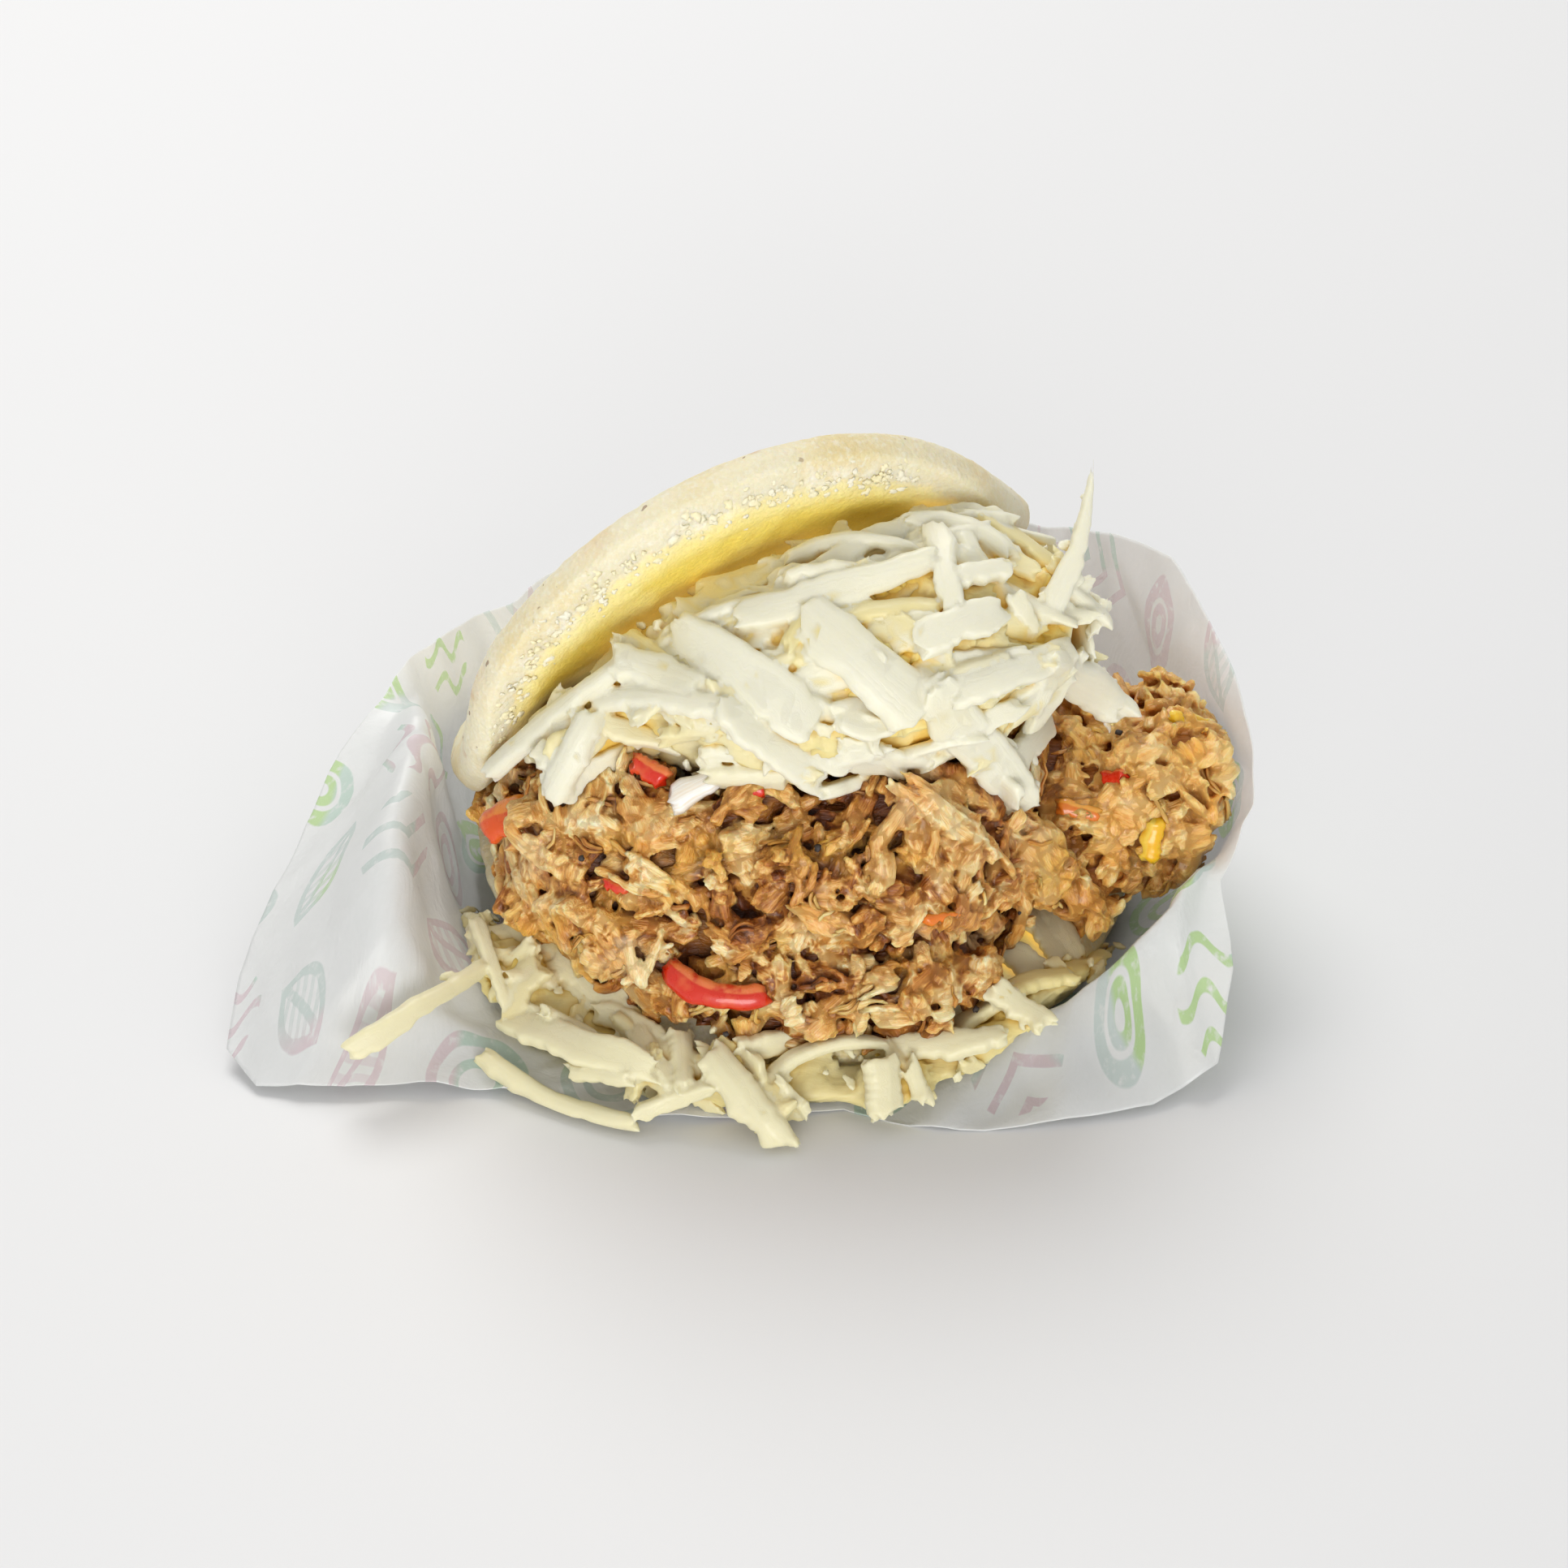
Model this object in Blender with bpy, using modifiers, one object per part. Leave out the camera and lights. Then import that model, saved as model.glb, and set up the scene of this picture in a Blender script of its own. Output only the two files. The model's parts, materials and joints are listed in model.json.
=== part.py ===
"""A pork and cheese arepa in its paper wrap.

The design is in millimetres, +Z up, and new_object turns it into metres. The origin is on
the surface that the paper rests on, under the middle of the bread's lower half. -Y is the
front, where the bread gapes and the filling shows.
"""
import math
import random

import bmesh
import bpy
import numpy as np
from mathutils import Matrix, Vector, noise
from mathutils.bvhtree import BVHTree

OBJECT = "pork_and_cheese_arepa"
MM = 0.001
GAP = 0.35  # between pieces that rest on each other
MERGE = 0.03  # points nearer than this are one point
FLAT = math.radians(3.0)  # faces that turn less than this become one
ROOM = 0.9  # left round the bread and the paper where a heap is fitted to them
SEED = 7

# Bread: two halves of one flat round, joined along the back left
BREAD_RADIUS = 62.0
BREAD_THICKNESS = 11.0
BREAD_CROWN = 0.6  # how much lower a half's crust is at its rim's start than in its middle
CRUST_ROUND = 6.2  # rounding of the rim on the crust's side
CUT_BEVEL = 11.0  # the rim thins over this width on the side that was cut open
BREAD_STEPS = 36
BREAD_CRAGS = 0.5
PAPER_THICKNESS = 0.8
BASE_FLOOR = PAPER_THICKNESS + GAP
BASE_CURL = 9.0  # rise of the lower half's rim
BASE_CURL_FROM = 0.45  # share of the radius where the rise starts
BASE_CURL_SIDE = math.radians(158)
LID_CENTRE = Vector((-16.8, 12.8, 62.4))
LID_TILT = math.radians(22.2)  # rise of the lid towards the right, seen from the front
LID_OPENING = math.radians(8.0)  # how far the lid's front edge is raised off the line of sight
LID_PEAK = 21.0  # where the lid's arch is level, right of its middle
ARCH_RADIUS = 220.0
RIGHT_CURL = 6.1e-4  # turn, in radians, per square millimetre beyond the peak
LEFT_CURL_START = -36.0
LEFT_CURL_RADIUS = 30.0
LIP_START = 18.0  # the lid's front flares upwards from here
LIP_CURL = 0.0026  # rise for each square millimetre

# The front view: shreds, strips and chunks that show there are placed in its plane
VIEW_ELEVATION = math.radians(34.5)
VIEW_TARGET = Vector((-3.7, 0.0, 25.2))
VIEW_DISTANCE = 861.5
VIEW_AHEAD = Vector((0.0, math.cos(VIEW_ELEVATION), -math.sin(VIEW_ELEVATION)))
VIEW_RIGHT = Vector((1.0, 0.0, 0.0))
VIEW_UP = Vector((0.0, math.sin(VIEW_ELEVATION), math.cos(VIEW_ELEVATION)))
VIEW_EYE = VIEW_TARGET - VIEW_AHEAD * VIEW_DISTANCE

# Heaps: middle, reach towards -X +X, -Y +Y and -Z +Z, turn in the view, fullness, lumps
PORK_BODY = ((-3, -8, 33), (54, 50, 49, 44, 36, 34), 0, 2.8, 0.06)
PORK_FRONT = ((3, -47, 15), (35, 33, 16.5, 16, 12, 15), 0, 2.4, 0.06)
PORK_LOBE = ((57, -6, 28), (30, 25, 24, 22, 18, 17), 8, 2.3, 0.08)
CHEESE_TOP_CORE = ((8, -22, 69), (46, 43, 27, 26, 19, 21), 11, 2.2, 0.05)
CHEESE_TOP_LEFT = ((-37, -33, 60), (13, 13, 9, 9, 7, 7), 30, 2.2, 0.05)
CHEESE_BASE_RADIUS = 65.5
CHEESE_BASE_WIDTH = 7.0
CHEESE_BASE_HEIGHT = 7.0
CHEESE_BANKS = ((math.radians(215), 9.0), (math.radians(316), 9.0))  # where it is higher
CHEESE_BANK_REACH = math.radians(34)
CHEESE_BASE_FROM = math.radians(190)
CHEESE_BASE_TO = math.radians(338)

# Cheese shreds that show on top: across, up, turn, length, width, bend, pointedness
TOP_SHREDS = (
    (-24.5, 21.0, -21, 16, 6.2, 0, 0.0),
    (-5.0, 32.5, 14, 26, 2.8, 2, 0.6),
    (10.0, 37.0, 17, 39, 6.9, 0, 0.3),
    (17.0, 45.5, 27, 20, 4.6, 1, 0.2),
    (13.0, 43.0, 5, 25, 3.8, 3, 0.5),
    (33.0, 46.0, -15, 20, 4.6, 3, 0.3),
    (30.5, 41.0, -75, 15, 4.6, 0, 0.2),
    (-7.0, 20.5, -37, 32, 8.5, 0, 0.1),
    (15.0, 22.5, -42, 29, 9.5, 0, 0.0),
    (-23.0, 15.0, -6, 23, 5.4, 1, 0.1),
    (-42.5, 12.5, 39, 34, 4.6, 1, 0.3),
    (-40.0, 5.5, 65, 17, 5.8, 0, 0.1),
    (-2.5, 8.5, -40, 25, 7.2, -1, 0.2),
    (37.0, 7.0, -52, 28, 8.5, 0, 0.1),
    (45.5, 6.5, 55, 14, 6.2, 0, 0.1),
    (57.0, 18.0, -36, 18, 8.0, 1, 0.1),
    (43.5, 21.0, 21, 23, 6.2, 0, 0.2),
    (33.0, 30.0, 25, 17, 7.5, 0, 0.1),
    (57.5, 34.0, -38, 12, 3.0, 0, 0.6),
    (37.5, 40.0, 10, 9, 4.0, 0, 0.0),
    (54.5, 47.0, 74, 29, 4.4, -1.5, 0.95),
)
# Cheese shreds that show round the bread's foot, in the same terms
FOOT_SHREDS = (
    (-69.5, -42.5, 32, 30, 4.3, 0, 0.3),
    (-55.0, -35.5, -72, 20, 3.2, 0, 0.7),
    (-38.0, -49.5, -20, 28, 6.5, 0, 0.1),
    (-34.5, -55.0, -7, 12, 3.4, 0, 0.1),
    (-42.5, -58.0, -23, 32, 3.8, -2.5, 0.3),
    (-25.0, -52.0, -59, 14, 3.8, 0, 0.1),
    (-19.5, -53.0, -80, 11, 4.9, 0, 0.0),
    (-7.0, -60.0, -49, 22, 7.2, 0, 0.0),
    (-21.0, -60.0, 22, 15, 3.8, 0, 0.2),
    (8.5, -52.0, 15, 22, 3.0, 2.5, 0.3),
    (19.0, -57.5, -85, 10, 7.0, 0, 0.0),
    (25.0, -56.5, -70, 8, 3.8, 0, 0.0),
    (31.5, -49.0, 7, 22, 5.4, 0, 0.2),
    (44.5, -42.0, -35, 13, 5.4, 0, 0.0),
    (49.5, -36.5, -62, 16, 7.0, 0, 0.1),
)
SHRED_THICKNESS = 2.6
LIFTS = (0.4, 1.4, 2.4, 3.6, 5.0)  # a laid piece is raised by the first of these that clears it
TOP_RANDOM = 14  # random pieces on each heap
FOOT_RANDOM = 7
PORK_RANDOM = 32
SCATTER_SPACING = 6.0  # least distance between the middles of random pieces
COVERED = 9.0  # a spot with something nearer than this before it gets no random piece
LOWEST_FACE = -0.6  # nor does a spot that faces down more than this
PROBE = Vector((0.13, -0.21, 0.97)).normalized()
SHORT_STRIP = 12.0  # a strip up to this length is laid straight
STEEPEST = 0.8  # most that a straight strip runs into the depth, for its length
# Large chunks of pork that show, in the same terms, with their thickness last
PORK_CHUNKS = (
    (50.5, -18.0, -32, 23, 12, 0, 0.4, 8),
    (71.0, 5.5, 25, 17, 10, 0, 0.2, 7),
    (77.0, 3.0, -60, 20, 10, 0, 0.2, 7),
    (29.0, -9.0, -35, 22, 8, 1, 0.4, 5),
    (-24.0, -8.0, 12, 18, 9, 0, 0.3, 6),
    (5.0, -18.0, -20, 18, 10, 0, 0.3, 6),
    (26.0, -24.0, 15, 22, 10, 2, 0.3, 6),
    (-34.0, -28.0, -38, 20, 10, 0, 0.3, 6),
    (12.0, -39.5, 8, 22, 9, -1, 0.3, 6),
    (30.0, -38.0, 20, 18, 8, 0, 0.3, 5),
)
# Toppings on the pork: name, colour, then the same terms with the thickness last
TOPPINGS = (
    ("pepper_strip_front", "red pepper", (-12.5, -37.5, -16, 19, 5.0, -1.5, 0.1, 2.6)),
    ("pepper_piece_left", "orange pepper", (-52.0, -6.5, 22, 9, 7.0, 0, 0.1, 2.6)),
    ("pepper_piece_upper", "red pepper", (-25.5, 2.5, -28, 7, 4.5, 0, 0.1, 2.4)),
    ("pepper_piece_right", "yellow pepper", (70.0, -10.5, 80, 8, 4.0, 0, 0.1, 2.4)),
    ("onion_piece", "onion", (-15.0, 0.5, 33, 15, 5.5, 0, 0.2, 2.4)),
)

# The paper: at each angle, reach and height of its foot, its crest and its edge
PAPER_STATIONS = (
    (0, (64, 1), (77, 20), (83, 44)),
    (10, (64, 1), (73, 26), (78, 54)),
    (20, (64, 1), (71, 29), (75, 60)),
    (32, (65, 1), (70, 29), (71, 58)),
    (46, (65, 1), (69, 27), (70, 52)),
    (64, (65, 1), (70, 25), (71, 47)),
    (90, (65, 1), (69, 24), (72, 45)),
    (118, (65, 1), (69, 22), (73, 41)),
    (142, (65, 1), (71, 21), (74, 37)),
    (158, (65, 1), (72, 24), (75, 41)),
    (168, (65, 1), (73, 31), (77, 43)),
    (176, (65, 1), (72, 38), (80, 40)),
    (182, (64, 1), (71, 41), (87, 34)),
    (188, (64, 1), (72, 41), (93, 26)),
    (195, (64, 1), (76, 39), (103, 16)),
    (201, (64, 1), (80, 36), (111, 9)),
    (207, (64, 1), (84, 32), (118, 3)),
    (212, (64, 1), (88, 25), (117, 1.2)),
    (217, (64, 0.8), (86, 11), (106, 3)),
    (222, (64, 0.6), (80, 5), (94, 3)),
    (229, (64, 0.5), (74, 2.5), (84, 1.5)),
    (240, (63, 0.5), (70, 1.5), (80, 0.8)),
    (252, (62, 0.4), (68, 1.0), (75, 0.6)),
    (264, (61, 0.3), (65, 0.8), (70, 0.5)),
    (276, (61, 0.3), (64, 0.8), (68, 0.5)),
    (284, (61, 0.4), (66, 1.5), (74, 0.6)),
    (293, (62, 0.6), (67, 3.0), (80, 0.8)),
    (303, (62, 0.8), (68, 7), (85, 0.8)),
    (313, (62, 1), (71, 14), (92, 1.0)),
    (321, (63, 1), (75, 21), (96, 5)),
    (328, (63, 1), (78, 27), (92, 18)),
    (335, (63, 1), (79, 29), (84, 29)),
    (345, (64, 1), (80, 22), (86, 36)),
)
PAPER_LINES = 2  # radial lines for each station
PAPER_FLAT = 0.82  # share of the foot's reach that lies flat

COLOURS = {
    "paper": ((0.90, 0.91, 0.89), 0.55),
    "bread": ((0.90, 0.77, 0.50), 0.75),
    "pork": ((0.56, 0.34, 0.17), 0.55),
    "cheese": ((0.92, 0.89, 0.72), 0.45),
    "red pepper": ((0.72, 0.07, 0.03), 0.35),
    "orange pepper": ((0.80, 0.20, 0.03), 0.35),
    "yellow pepper": ((0.88, 0.55, 0.04), 0.35),
    "onion": ((0.88, 0.83, 0.74), 0.30),
}


def smooth(value, low, high):
    """Rises smoothly from 0 at low to 1 at high."""
    share = min(max((value - low) / (high - low), 0.0), 1.0)
    return share * share * (3.0 - 2.0 * share)


def clear_scene():
    for obj in list(bpy.data.objects):
        bpy.data.objects.remove(obj, do_unlink=True)
    group = bpy.data.collections.new(OBJECT)
    bpy.context.scene.collection.children.link(group)


def show(obj):
    """Puts a part into the object's own collection."""
    bpy.data.collections[OBJECT].objects.link(obj)


def new_material(name, colour, roughness):
    material = bpy.data.materials.new(name)
    material.use_nodes = True
    shader = material.node_tree.nodes["Principled BSDF"]
    shader.inputs["Base Color"].default_value = (*colour, 1.0)
    shader.inputs["Roughness"].default_value = roughness
    shader.inputs["Metallic"].default_value = 0.0
    return material


def new_object(name, bm, material=None):
    """Turns a bmesh in millimetres into an object in metres."""
    bm.normal_update()
    bmesh.ops.recalc_face_normals(bm, faces=bm.faces)
    bm.transform(Matrix.Scale(MM, 4))
    mesh = bpy.data.meshes.new(name)
    bm.to_mesh(mesh)
    bm.free()
    obj = bpy.data.objects.new(name, mesh)
    if material:
        mesh.materials.append(material)
    return obj


def apply_modifiers(obj):
    bpy.context.view_layer.update()
    graph = bpy.context.evaluated_depsgraph_get()
    shape = bpy.data.meshes.new_from_object(obj.evaluated_get(graph))
    obj.modifiers.clear()
    obj.data = shape


def combine(obj, others, operation, solver="EXACT"):
    """One Boolean of obj with all the others, applied. The others are removed."""
    group = bpy.data.collections.new(obj.name + "_operands")
    bpy.context.scene.collection.children.link(group)
    for other in others:
        group.objects.link(other)
    step = obj.modifiers.new(operation.lower(), "BOOLEAN")
    step.operation = operation
    step.operand_type = "COLLECTION"
    step.collection = group
    step.solver = solver
    apply_modifiers(obj)
    for other in others:
        bpy.data.objects.remove(other, do_unlink=True)
    bpy.data.collections.remove(group)


def islands(bm):
    """The sets of faces that meet edge to edge, the largest first."""
    left = set(bm.faces)
    found = []
    while left:
        start = left.pop()
        island, front = [start], [start]
        while front:
            for edge in front.pop().edges:
                if not edge.is_manifold:
                    continue
                for face in edge.link_faces:
                    if face in left:
                        left.remove(face)
                        island.append(face)
                        front.append(face)
        found.append(island)
    return sorted(found, key=len, reverse=True)


def keep_one_body(obj):
    """Merges points that nearly coincide and drops loose scraps and sealed hollows."""
    bm = bmesh.new()
    bm.from_mesh(obj.data)
    bmesh.ops.remove_doubles(bm, verts=bm.verts, dist=MERGE * MM)
    bmesh.ops.dissolve_degenerate(bm, edges=bm.edges, dist=MERGE * MM)
    bmesh.ops.dissolve_limit(bm, angle_limit=FLAT, verts=bm.verts, edges=bm.edges)
    bmesh.ops.triangulate(bm, faces=bm.faces)
    scraps = [face for island in islands(bm)[1:] for face in island]
    bmesh.ops.delete(bm, geom=scraps, context="FACES")
    bm.to_mesh(obj.data)
    bm.free()


def tree_of(objects):
    """A search tree, in millimetres, of the surfaces of some objects."""
    corners, faces = [], []
    for obj in objects:
        start = len(corners)
        corners += [vertex.co / MM for vertex in obj.data.vertices]
        faces += [[start + i for i in face.vertices] for face in obj.data.polygons]
    return BVHTree.FromPolygons(corners, faces)


def bread_profile(grow):
    """A bread half's section, from the middle of its crust round the rim to the cut face."""
    half = BREAD_THICKNESS / 2 + grow
    reach = BREAD_RADIUS + grow
    shoulder = reach - CRUST_ROUND
    points = [(shoulder * share, half - BREAD_CROWN * share**2) for share in (0, 0.4, 0.75)]
    for share in (0, 0.3, 0.6, 0.85, 1):
        angle = math.pi / 2 * (1 - share)
        points.append((shoulder + CRUST_ROUND * math.cos(angle),
                       half - BREAD_CROWN - CRUST_ROUND * (1 - math.sin(angle))))
    depth = half - BREAD_CROWN - CRUST_ROUND + half
    for share, fall in ((0.22, 0.5), (0.55, 0.86), (1, 1)):
        points.append((reach - CUT_BEVEL * share, depth * (1 - fall) - half))
    points += [(reach * share, -half) for share in (0.45, 0)]
    return points


def bread_half(bend, grow=0.0):
    """One half of the bread: its section turned once round, then bent to its place."""
    bm = bmesh.new()
    line = [bm.verts.new((r, 0.0, z)) for r, z in bread_profile(grow)]
    edges = [bm.edges.new(pair) for pair in zip(line, line[1:])]
    bmesh.ops.spin(bm, geom=line + edges, cent=(0, 0, 0), axis=(0, 0, 1),
                   angle=math.tau, steps=BREAD_STEPS, use_merge=True)
    bmesh.ops.remove_doubles(bm, verts=bm.verts, dist=0.01)
    for vertex in bm.verts:
        spot = Vector((vertex.co.x, vertex.co.y, 0.0))
        crag = noise.noise(spot * 0.16) - 0.5
        edge = smooth(spot.length, BREAD_RADIUS * 0.7, BREAD_RADIUS)
        vertex.co.xy *= 1.0 + edge * crag * BREAD_CRAGS / BREAD_RADIUS
        vertex.co = bend(vertex.co)
    return bm


def bend_base(point):
    """The lower half lies flat, cut face up, and its left and back rims curl up."""
    reach = point.xy.length / BREAD_RADIUS
    angle = math.atan2(-point.y, point.x)
    side = max(math.cos(angle - BASE_CURL_SIDE), 0.0)
    rise = BASE_CURL * side * smooth(reach, BASE_CURL_FROM, 1.15) * 1.4
    return Vector((point.x, -point.y, BASE_FLOOR + BREAD_THICKNESS / 2 - point.z + rise))


def lid_axes():
    """The lid's own directions: along its gape, towards its front edge, and outwards."""
    along = (VIEW_RIGHT * math.cos(LID_TILT) + VIEW_UP * math.sin(LID_TILT)).normalized()
    front = -VIEW_AHEAD
    out = front.cross(along)
    opened = front * math.cos(LID_OPENING) + out * math.sin(LID_OPENING)
    return along, opened, opened.cross(along)


def arch(reach, share):
    """Where the lid's middle layer goes, reach along the gape: along, up and its slope."""
    steps = 24
    along, up, slope = LID_PEAK, 0.0, 0.0
    for i in range(steps):
        spot = LID_PEAK + (reach - LID_PEAK) * (i + 0.5) / steps
        slope = (spot - LID_PEAK) / ARCH_RADIUS
        if spot > LID_PEAK:
            slope += RIGHT_CURL * (spot - LID_PEAK) ** 2
        if spot < LEFT_CURL_START:
            slope += (spot - LEFT_CURL_START) / LEFT_CURL_RADIUS
        slope *= share
        along += math.cos(slope) * (reach - LID_PEAK) / steps
        up -= math.sin(slope) * (reach - LID_PEAK) / steps
    return along, up, slope


def bend_lid(point):
    """The upper half arches over the filling, flat along its back edge, with a raised lip."""
    along, front, out = lid_axes()
    share = smooth(point.y, -BREAD_RADIUS, BREAD_RADIUS / 2)
    x, rise, slope = arch(point.x, share)
    rise += LIP_CURL * max(point.y - LIP_START, 0.0) ** 2
    layer = out * math.cos(slope) + along * math.sin(slope)
    return LID_CENTRE + along * x + front * point.y + out * rise + layer * point.z


def make_bread(material):
    bread = new_object("arepa_bread", bread_half(bend_base), material)
    show(bread)
    combine(bread, [new_object("lid", bread_half(bend_lid))], "UNION")
    keep_one_body(bread)
    return bread


def bread_room():
    """The room that the bread takes, with the gap round it."""
    return [
        new_object("base_room", bread_half(bend_base, ROOM)),
        new_object("lid_room", bread_half(bend_lid, ROOM)),
    ]


def between(values, share):
    """A smooth curve through four values, between the second and the third."""
    a, b, c, d = values
    return b + 0.5 * share * (
        c - a + share * (2 * a - 5 * b + 4 * c - d + share * (3 * (b - c) + d - a))
    )


def paper_lines():
    """The paper's radial lines: angle, then reach and height of foot, crest and edge."""
    rows = [(math.radians(angle), *foot, *crest, *edge)
            for angle, foot, crest, edge in PAPER_STATIONS]
    count = len(rows)
    lines = []
    for i in range(count):
        for step in range(PAPER_LINES):
            share = step / PAPER_LINES
            near = []
            for offset in (-1, 0, 1, 2):
                row = rows[(i + offset) % count]
                turns = (i + offset) // count
                near.append((row[0] + math.tau * turns, *row[1:]))
            lines.append([between(column, share) for column in zip(*near)])
    return lines


def paper_section(foot_r, foot_z, crest_r, crest_z, edge_r, edge_z):
    """Points of the sheet along one radial line, from the flat middle out to the edge."""
    flat = foot_r * PAPER_FLAT
    wall_r = foot_r + 0.62 * (crest_r - foot_r)
    wall_z = foot_z + 0.45 * (crest_z - foot_z)
    fold_r = crest_r + 0.5 * (edge_r - crest_r)
    fold_z = crest_z + 0.55 * (edge_z - crest_z)
    return [
        (flat * 0.5, 0.0),
        (flat, 0.0),
        (foot_r, foot_z),
        (wall_r, wall_z),
        (crest_r, crest_z),
        (fold_r, fold_z),
        (edge_r, edge_z),
    ]


def paper_sheet(thickness, side):
    """The paper as an open sheet with Solidify, applied."""
    bm = bmesh.new()
    middle = bm.verts.new((0.0, 0.0, 0.0))
    rings = []
    for angle, *sizes in paper_lines():
        direction = Vector((math.cos(angle), math.sin(angle), 0.0))
        rings.append([bm.verts.new(direction * r + Vector((0, 0, z)))
                      for r, z in paper_section(*sizes)])
    for line, following in zip(rings, rings[1:] + rings[:1]):
        bm.faces.new((middle, line[0], following[0]))
        for i in range(len(line) - 1):
            bm.faces.new((line[i], line[i + 1], following[i + 1], following[i]))
    bmesh.ops.triangulate(bm, faces=bm.faces)
    sheet = new_object("sheet", bm)
    bpy.context.scene.collection.objects.link(sheet)
    shell = sheet.modifiers.new("thickness", "SOLIDIFY")
    shell.thickness = thickness * MM
    shell.offset = side
    apply_modifiers(sheet)
    bpy.context.scene.collection.objects.unlink(sheet)
    return sheet


def make_paper(material):
    paper = paper_sheet(PAPER_THICKNESS, 1.0)
    paper.name = "paper_wrap"
    paper.data.materials.append(material)
    show(paper)
    return paper


def paper_room():
    """The room that the paper takes, with the gap on both sides of it."""
    return paper_sheet(3 * PAPER_THICKNESS + 2 * ROOM, 0.0)


def blob(middle, reaches, turn, fullness, lumps, detail, grow=0.0):
    """A lumpy rounded body with its own reach to each side."""
    bm = bmesh.new()
    bmesh.ops.create_icosphere(bm, subdivisions=detail, radius=1.0)
    spin = Matrix.Rotation(math.radians(turn), 4, -VIEW_AHEAD)
    for vertex in bm.verts:
        way = vertex.co.normalized()
        full = sum(abs(part) ** fullness for part in way) ** (-1 / fullness)
        size = [reaches[2 * i + (way[i] > 0)] for i in range(3)]
        point = Vector([way[i] * full * size[i] for i in range(3)])
        bump = noise.noise(way * 1.7) + 0.6 * noise.noise(way * 4.0)
        point *= 1.0 + lumps * bump
        vertex.co = spin @ (point + point.normalized() * grow) + Vector(middle)
    return bm


def crescent(grow=0.0):
    """The low bank of cheese round the bread's foot."""
    bm = bmesh.new()
    steps = 26
    sides = 8
    rings = []
    for i in range(steps + 1):
        share = i / steps
        angle = CHEESE_BASE_FROM + (CHEESE_BASE_TO - CHEESE_BASE_FROM) * share
        swell = 0.35 + 0.65 * math.sin(math.pi * share) ** 0.4
        swell += 0.12 * noise.noise(Vector((share * 9.0, 2.0, 0.0)))
        radial = Vector((math.cos(angle), math.sin(angle), 0.0))
        height = CHEESE_BASE_HEIGHT * swell
        for bank, rise in CHEESE_BANKS:
            height += rise * smooth(CHEESE_BANK_REACH - abs(angle - bank), 0, CHEESE_BANK_REACH)
        ring = []
        for j in range(sides):
            turn = math.tau * (j + 0.5) / sides
            across = (CHEESE_BASE_WIDTH * swell + grow) * math.cos(turn)
            rise = (height / 2 + grow) * math.sin(turn)
            ring.append(bm.verts.new(radial * (CHEESE_BASE_RADIUS + across)
                                     + Vector((0, 0, BASE_FLOOR + GAP + height / 2 + rise))))
        rings.append(ring)
    for ring, following in zip(rings, rings[1:]):
        for j in range(sides):
            k = (j + 1) % sides
            bm.faces.new((ring[j], ring[k], following[k], following[j]))
    bm.faces.new(rings[0])
    bm.faces.new(rings[-1])
    return bm


def view_ray(across, up):
    """The line of sight through a point of the front view's plane."""
    return (VIEW_AHEAD * VIEW_DISTANCE + VIEW_RIGHT * across + VIEW_UP * up).normalized()


def lay(ground, across, up, turn, length, bend, lift, points=7):
    """A strip's middle line laid on the ground as seen from the front, and its outward side."""
    turn = math.radians(turn)
    spots, found = [], []
    side = Vector()
    for i in range(points):
        u = i / (points - 1) - 0.5
        x = u * length
        y = bend * (1 - 4 * u * u)
        ray = view_ray(across + x * math.cos(turn) - y * math.sin(turn),
                       up + x * math.sin(turn) + y * math.cos(turn))
        hit, normal, _, distance = ground.ray_cast(VIEW_EYE, ray)
        spots.append((u, ray))
        if hit:
            found.append((u, distance))
            side += normal if normal.dot(ray) < 0 else -normal
    if not found:
        return None, None
    degree = 2 if len(found) == points and length > SHORT_STRIP else 1 if len(found) > 3 else 0
    fit = np.polyfit([u for u, _ in found], [distance for _, distance in found], degree)
    if degree == 1:
        fit[0] = min(max(fit[0], -length * STEEPEST), length * STEEPEST)
    facing = (side.normalized() - VIEW_AHEAD * 0.8).normalized()
    path = [VIEW_EYE + ray * (float(np.polyval(fit, u)) - lift) for u, ray in spots]
    return path, facing


def strip(path, facing, width, thickness, pointed=0.0, segments=5, grow=0.0):
    """A bar with a rectangular section along a path, narrower towards its far end."""
    bm = bmesh.new()
    bmesh.ops.create_cube(bm, size=1.0)
    long_edges = [edge for edge in bm.edges
                  if abs(edge.verts[0].co.x - edge.verts[1].co.x) > 0.5]
    bmesh.ops.subdivide_edges(bm, edges=long_edges, cuts=segments - 1, use_grid_fill=True)
    last = len(path) - 1
    for vertex in bm.verts:
        u = vertex.co.x + 0.5
        spot = min(int(u * last), last - 1)
        share = u * last - spot
        ahead = (path[spot + 1] - path[spot]).normalized()
        middle = path[spot].lerp(path[spot + 1], share)
        if u < 0.001:
            middle = middle - ahead * grow
        if u > 0.999:
            middle = middle + ahead * grow
        side = facing.cross(ahead).normalized()
        rise = ahead.cross(side)
        narrow = 1.0 - pointed * smooth(u, 0.15, 1.0)
        narrow *= 1.0 - 0.25 * smooth(0.2 - u, 0.0, 0.2)
        across = vertex.co.y * (width * narrow + 2 * grow)
        deep = vertex.co.z * (thickness * (0.55 + 0.45 * narrow) + 2 * grow)
        vertex.co = middle + side * across + rise * deep
    sunk = PAPER_THICKNESS + GAP - grow - min(vertex.co.z for vertex in bm.verts)
    bmesh.ops.translate(bm, vec=(0, 0, max(sunk, 0.0)), verts=bm.verts)
    return bm


def crosses(bm, obstacles):
    return bool(BVHTree.FromBMesh(bm).overlap(obstacles))


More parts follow.
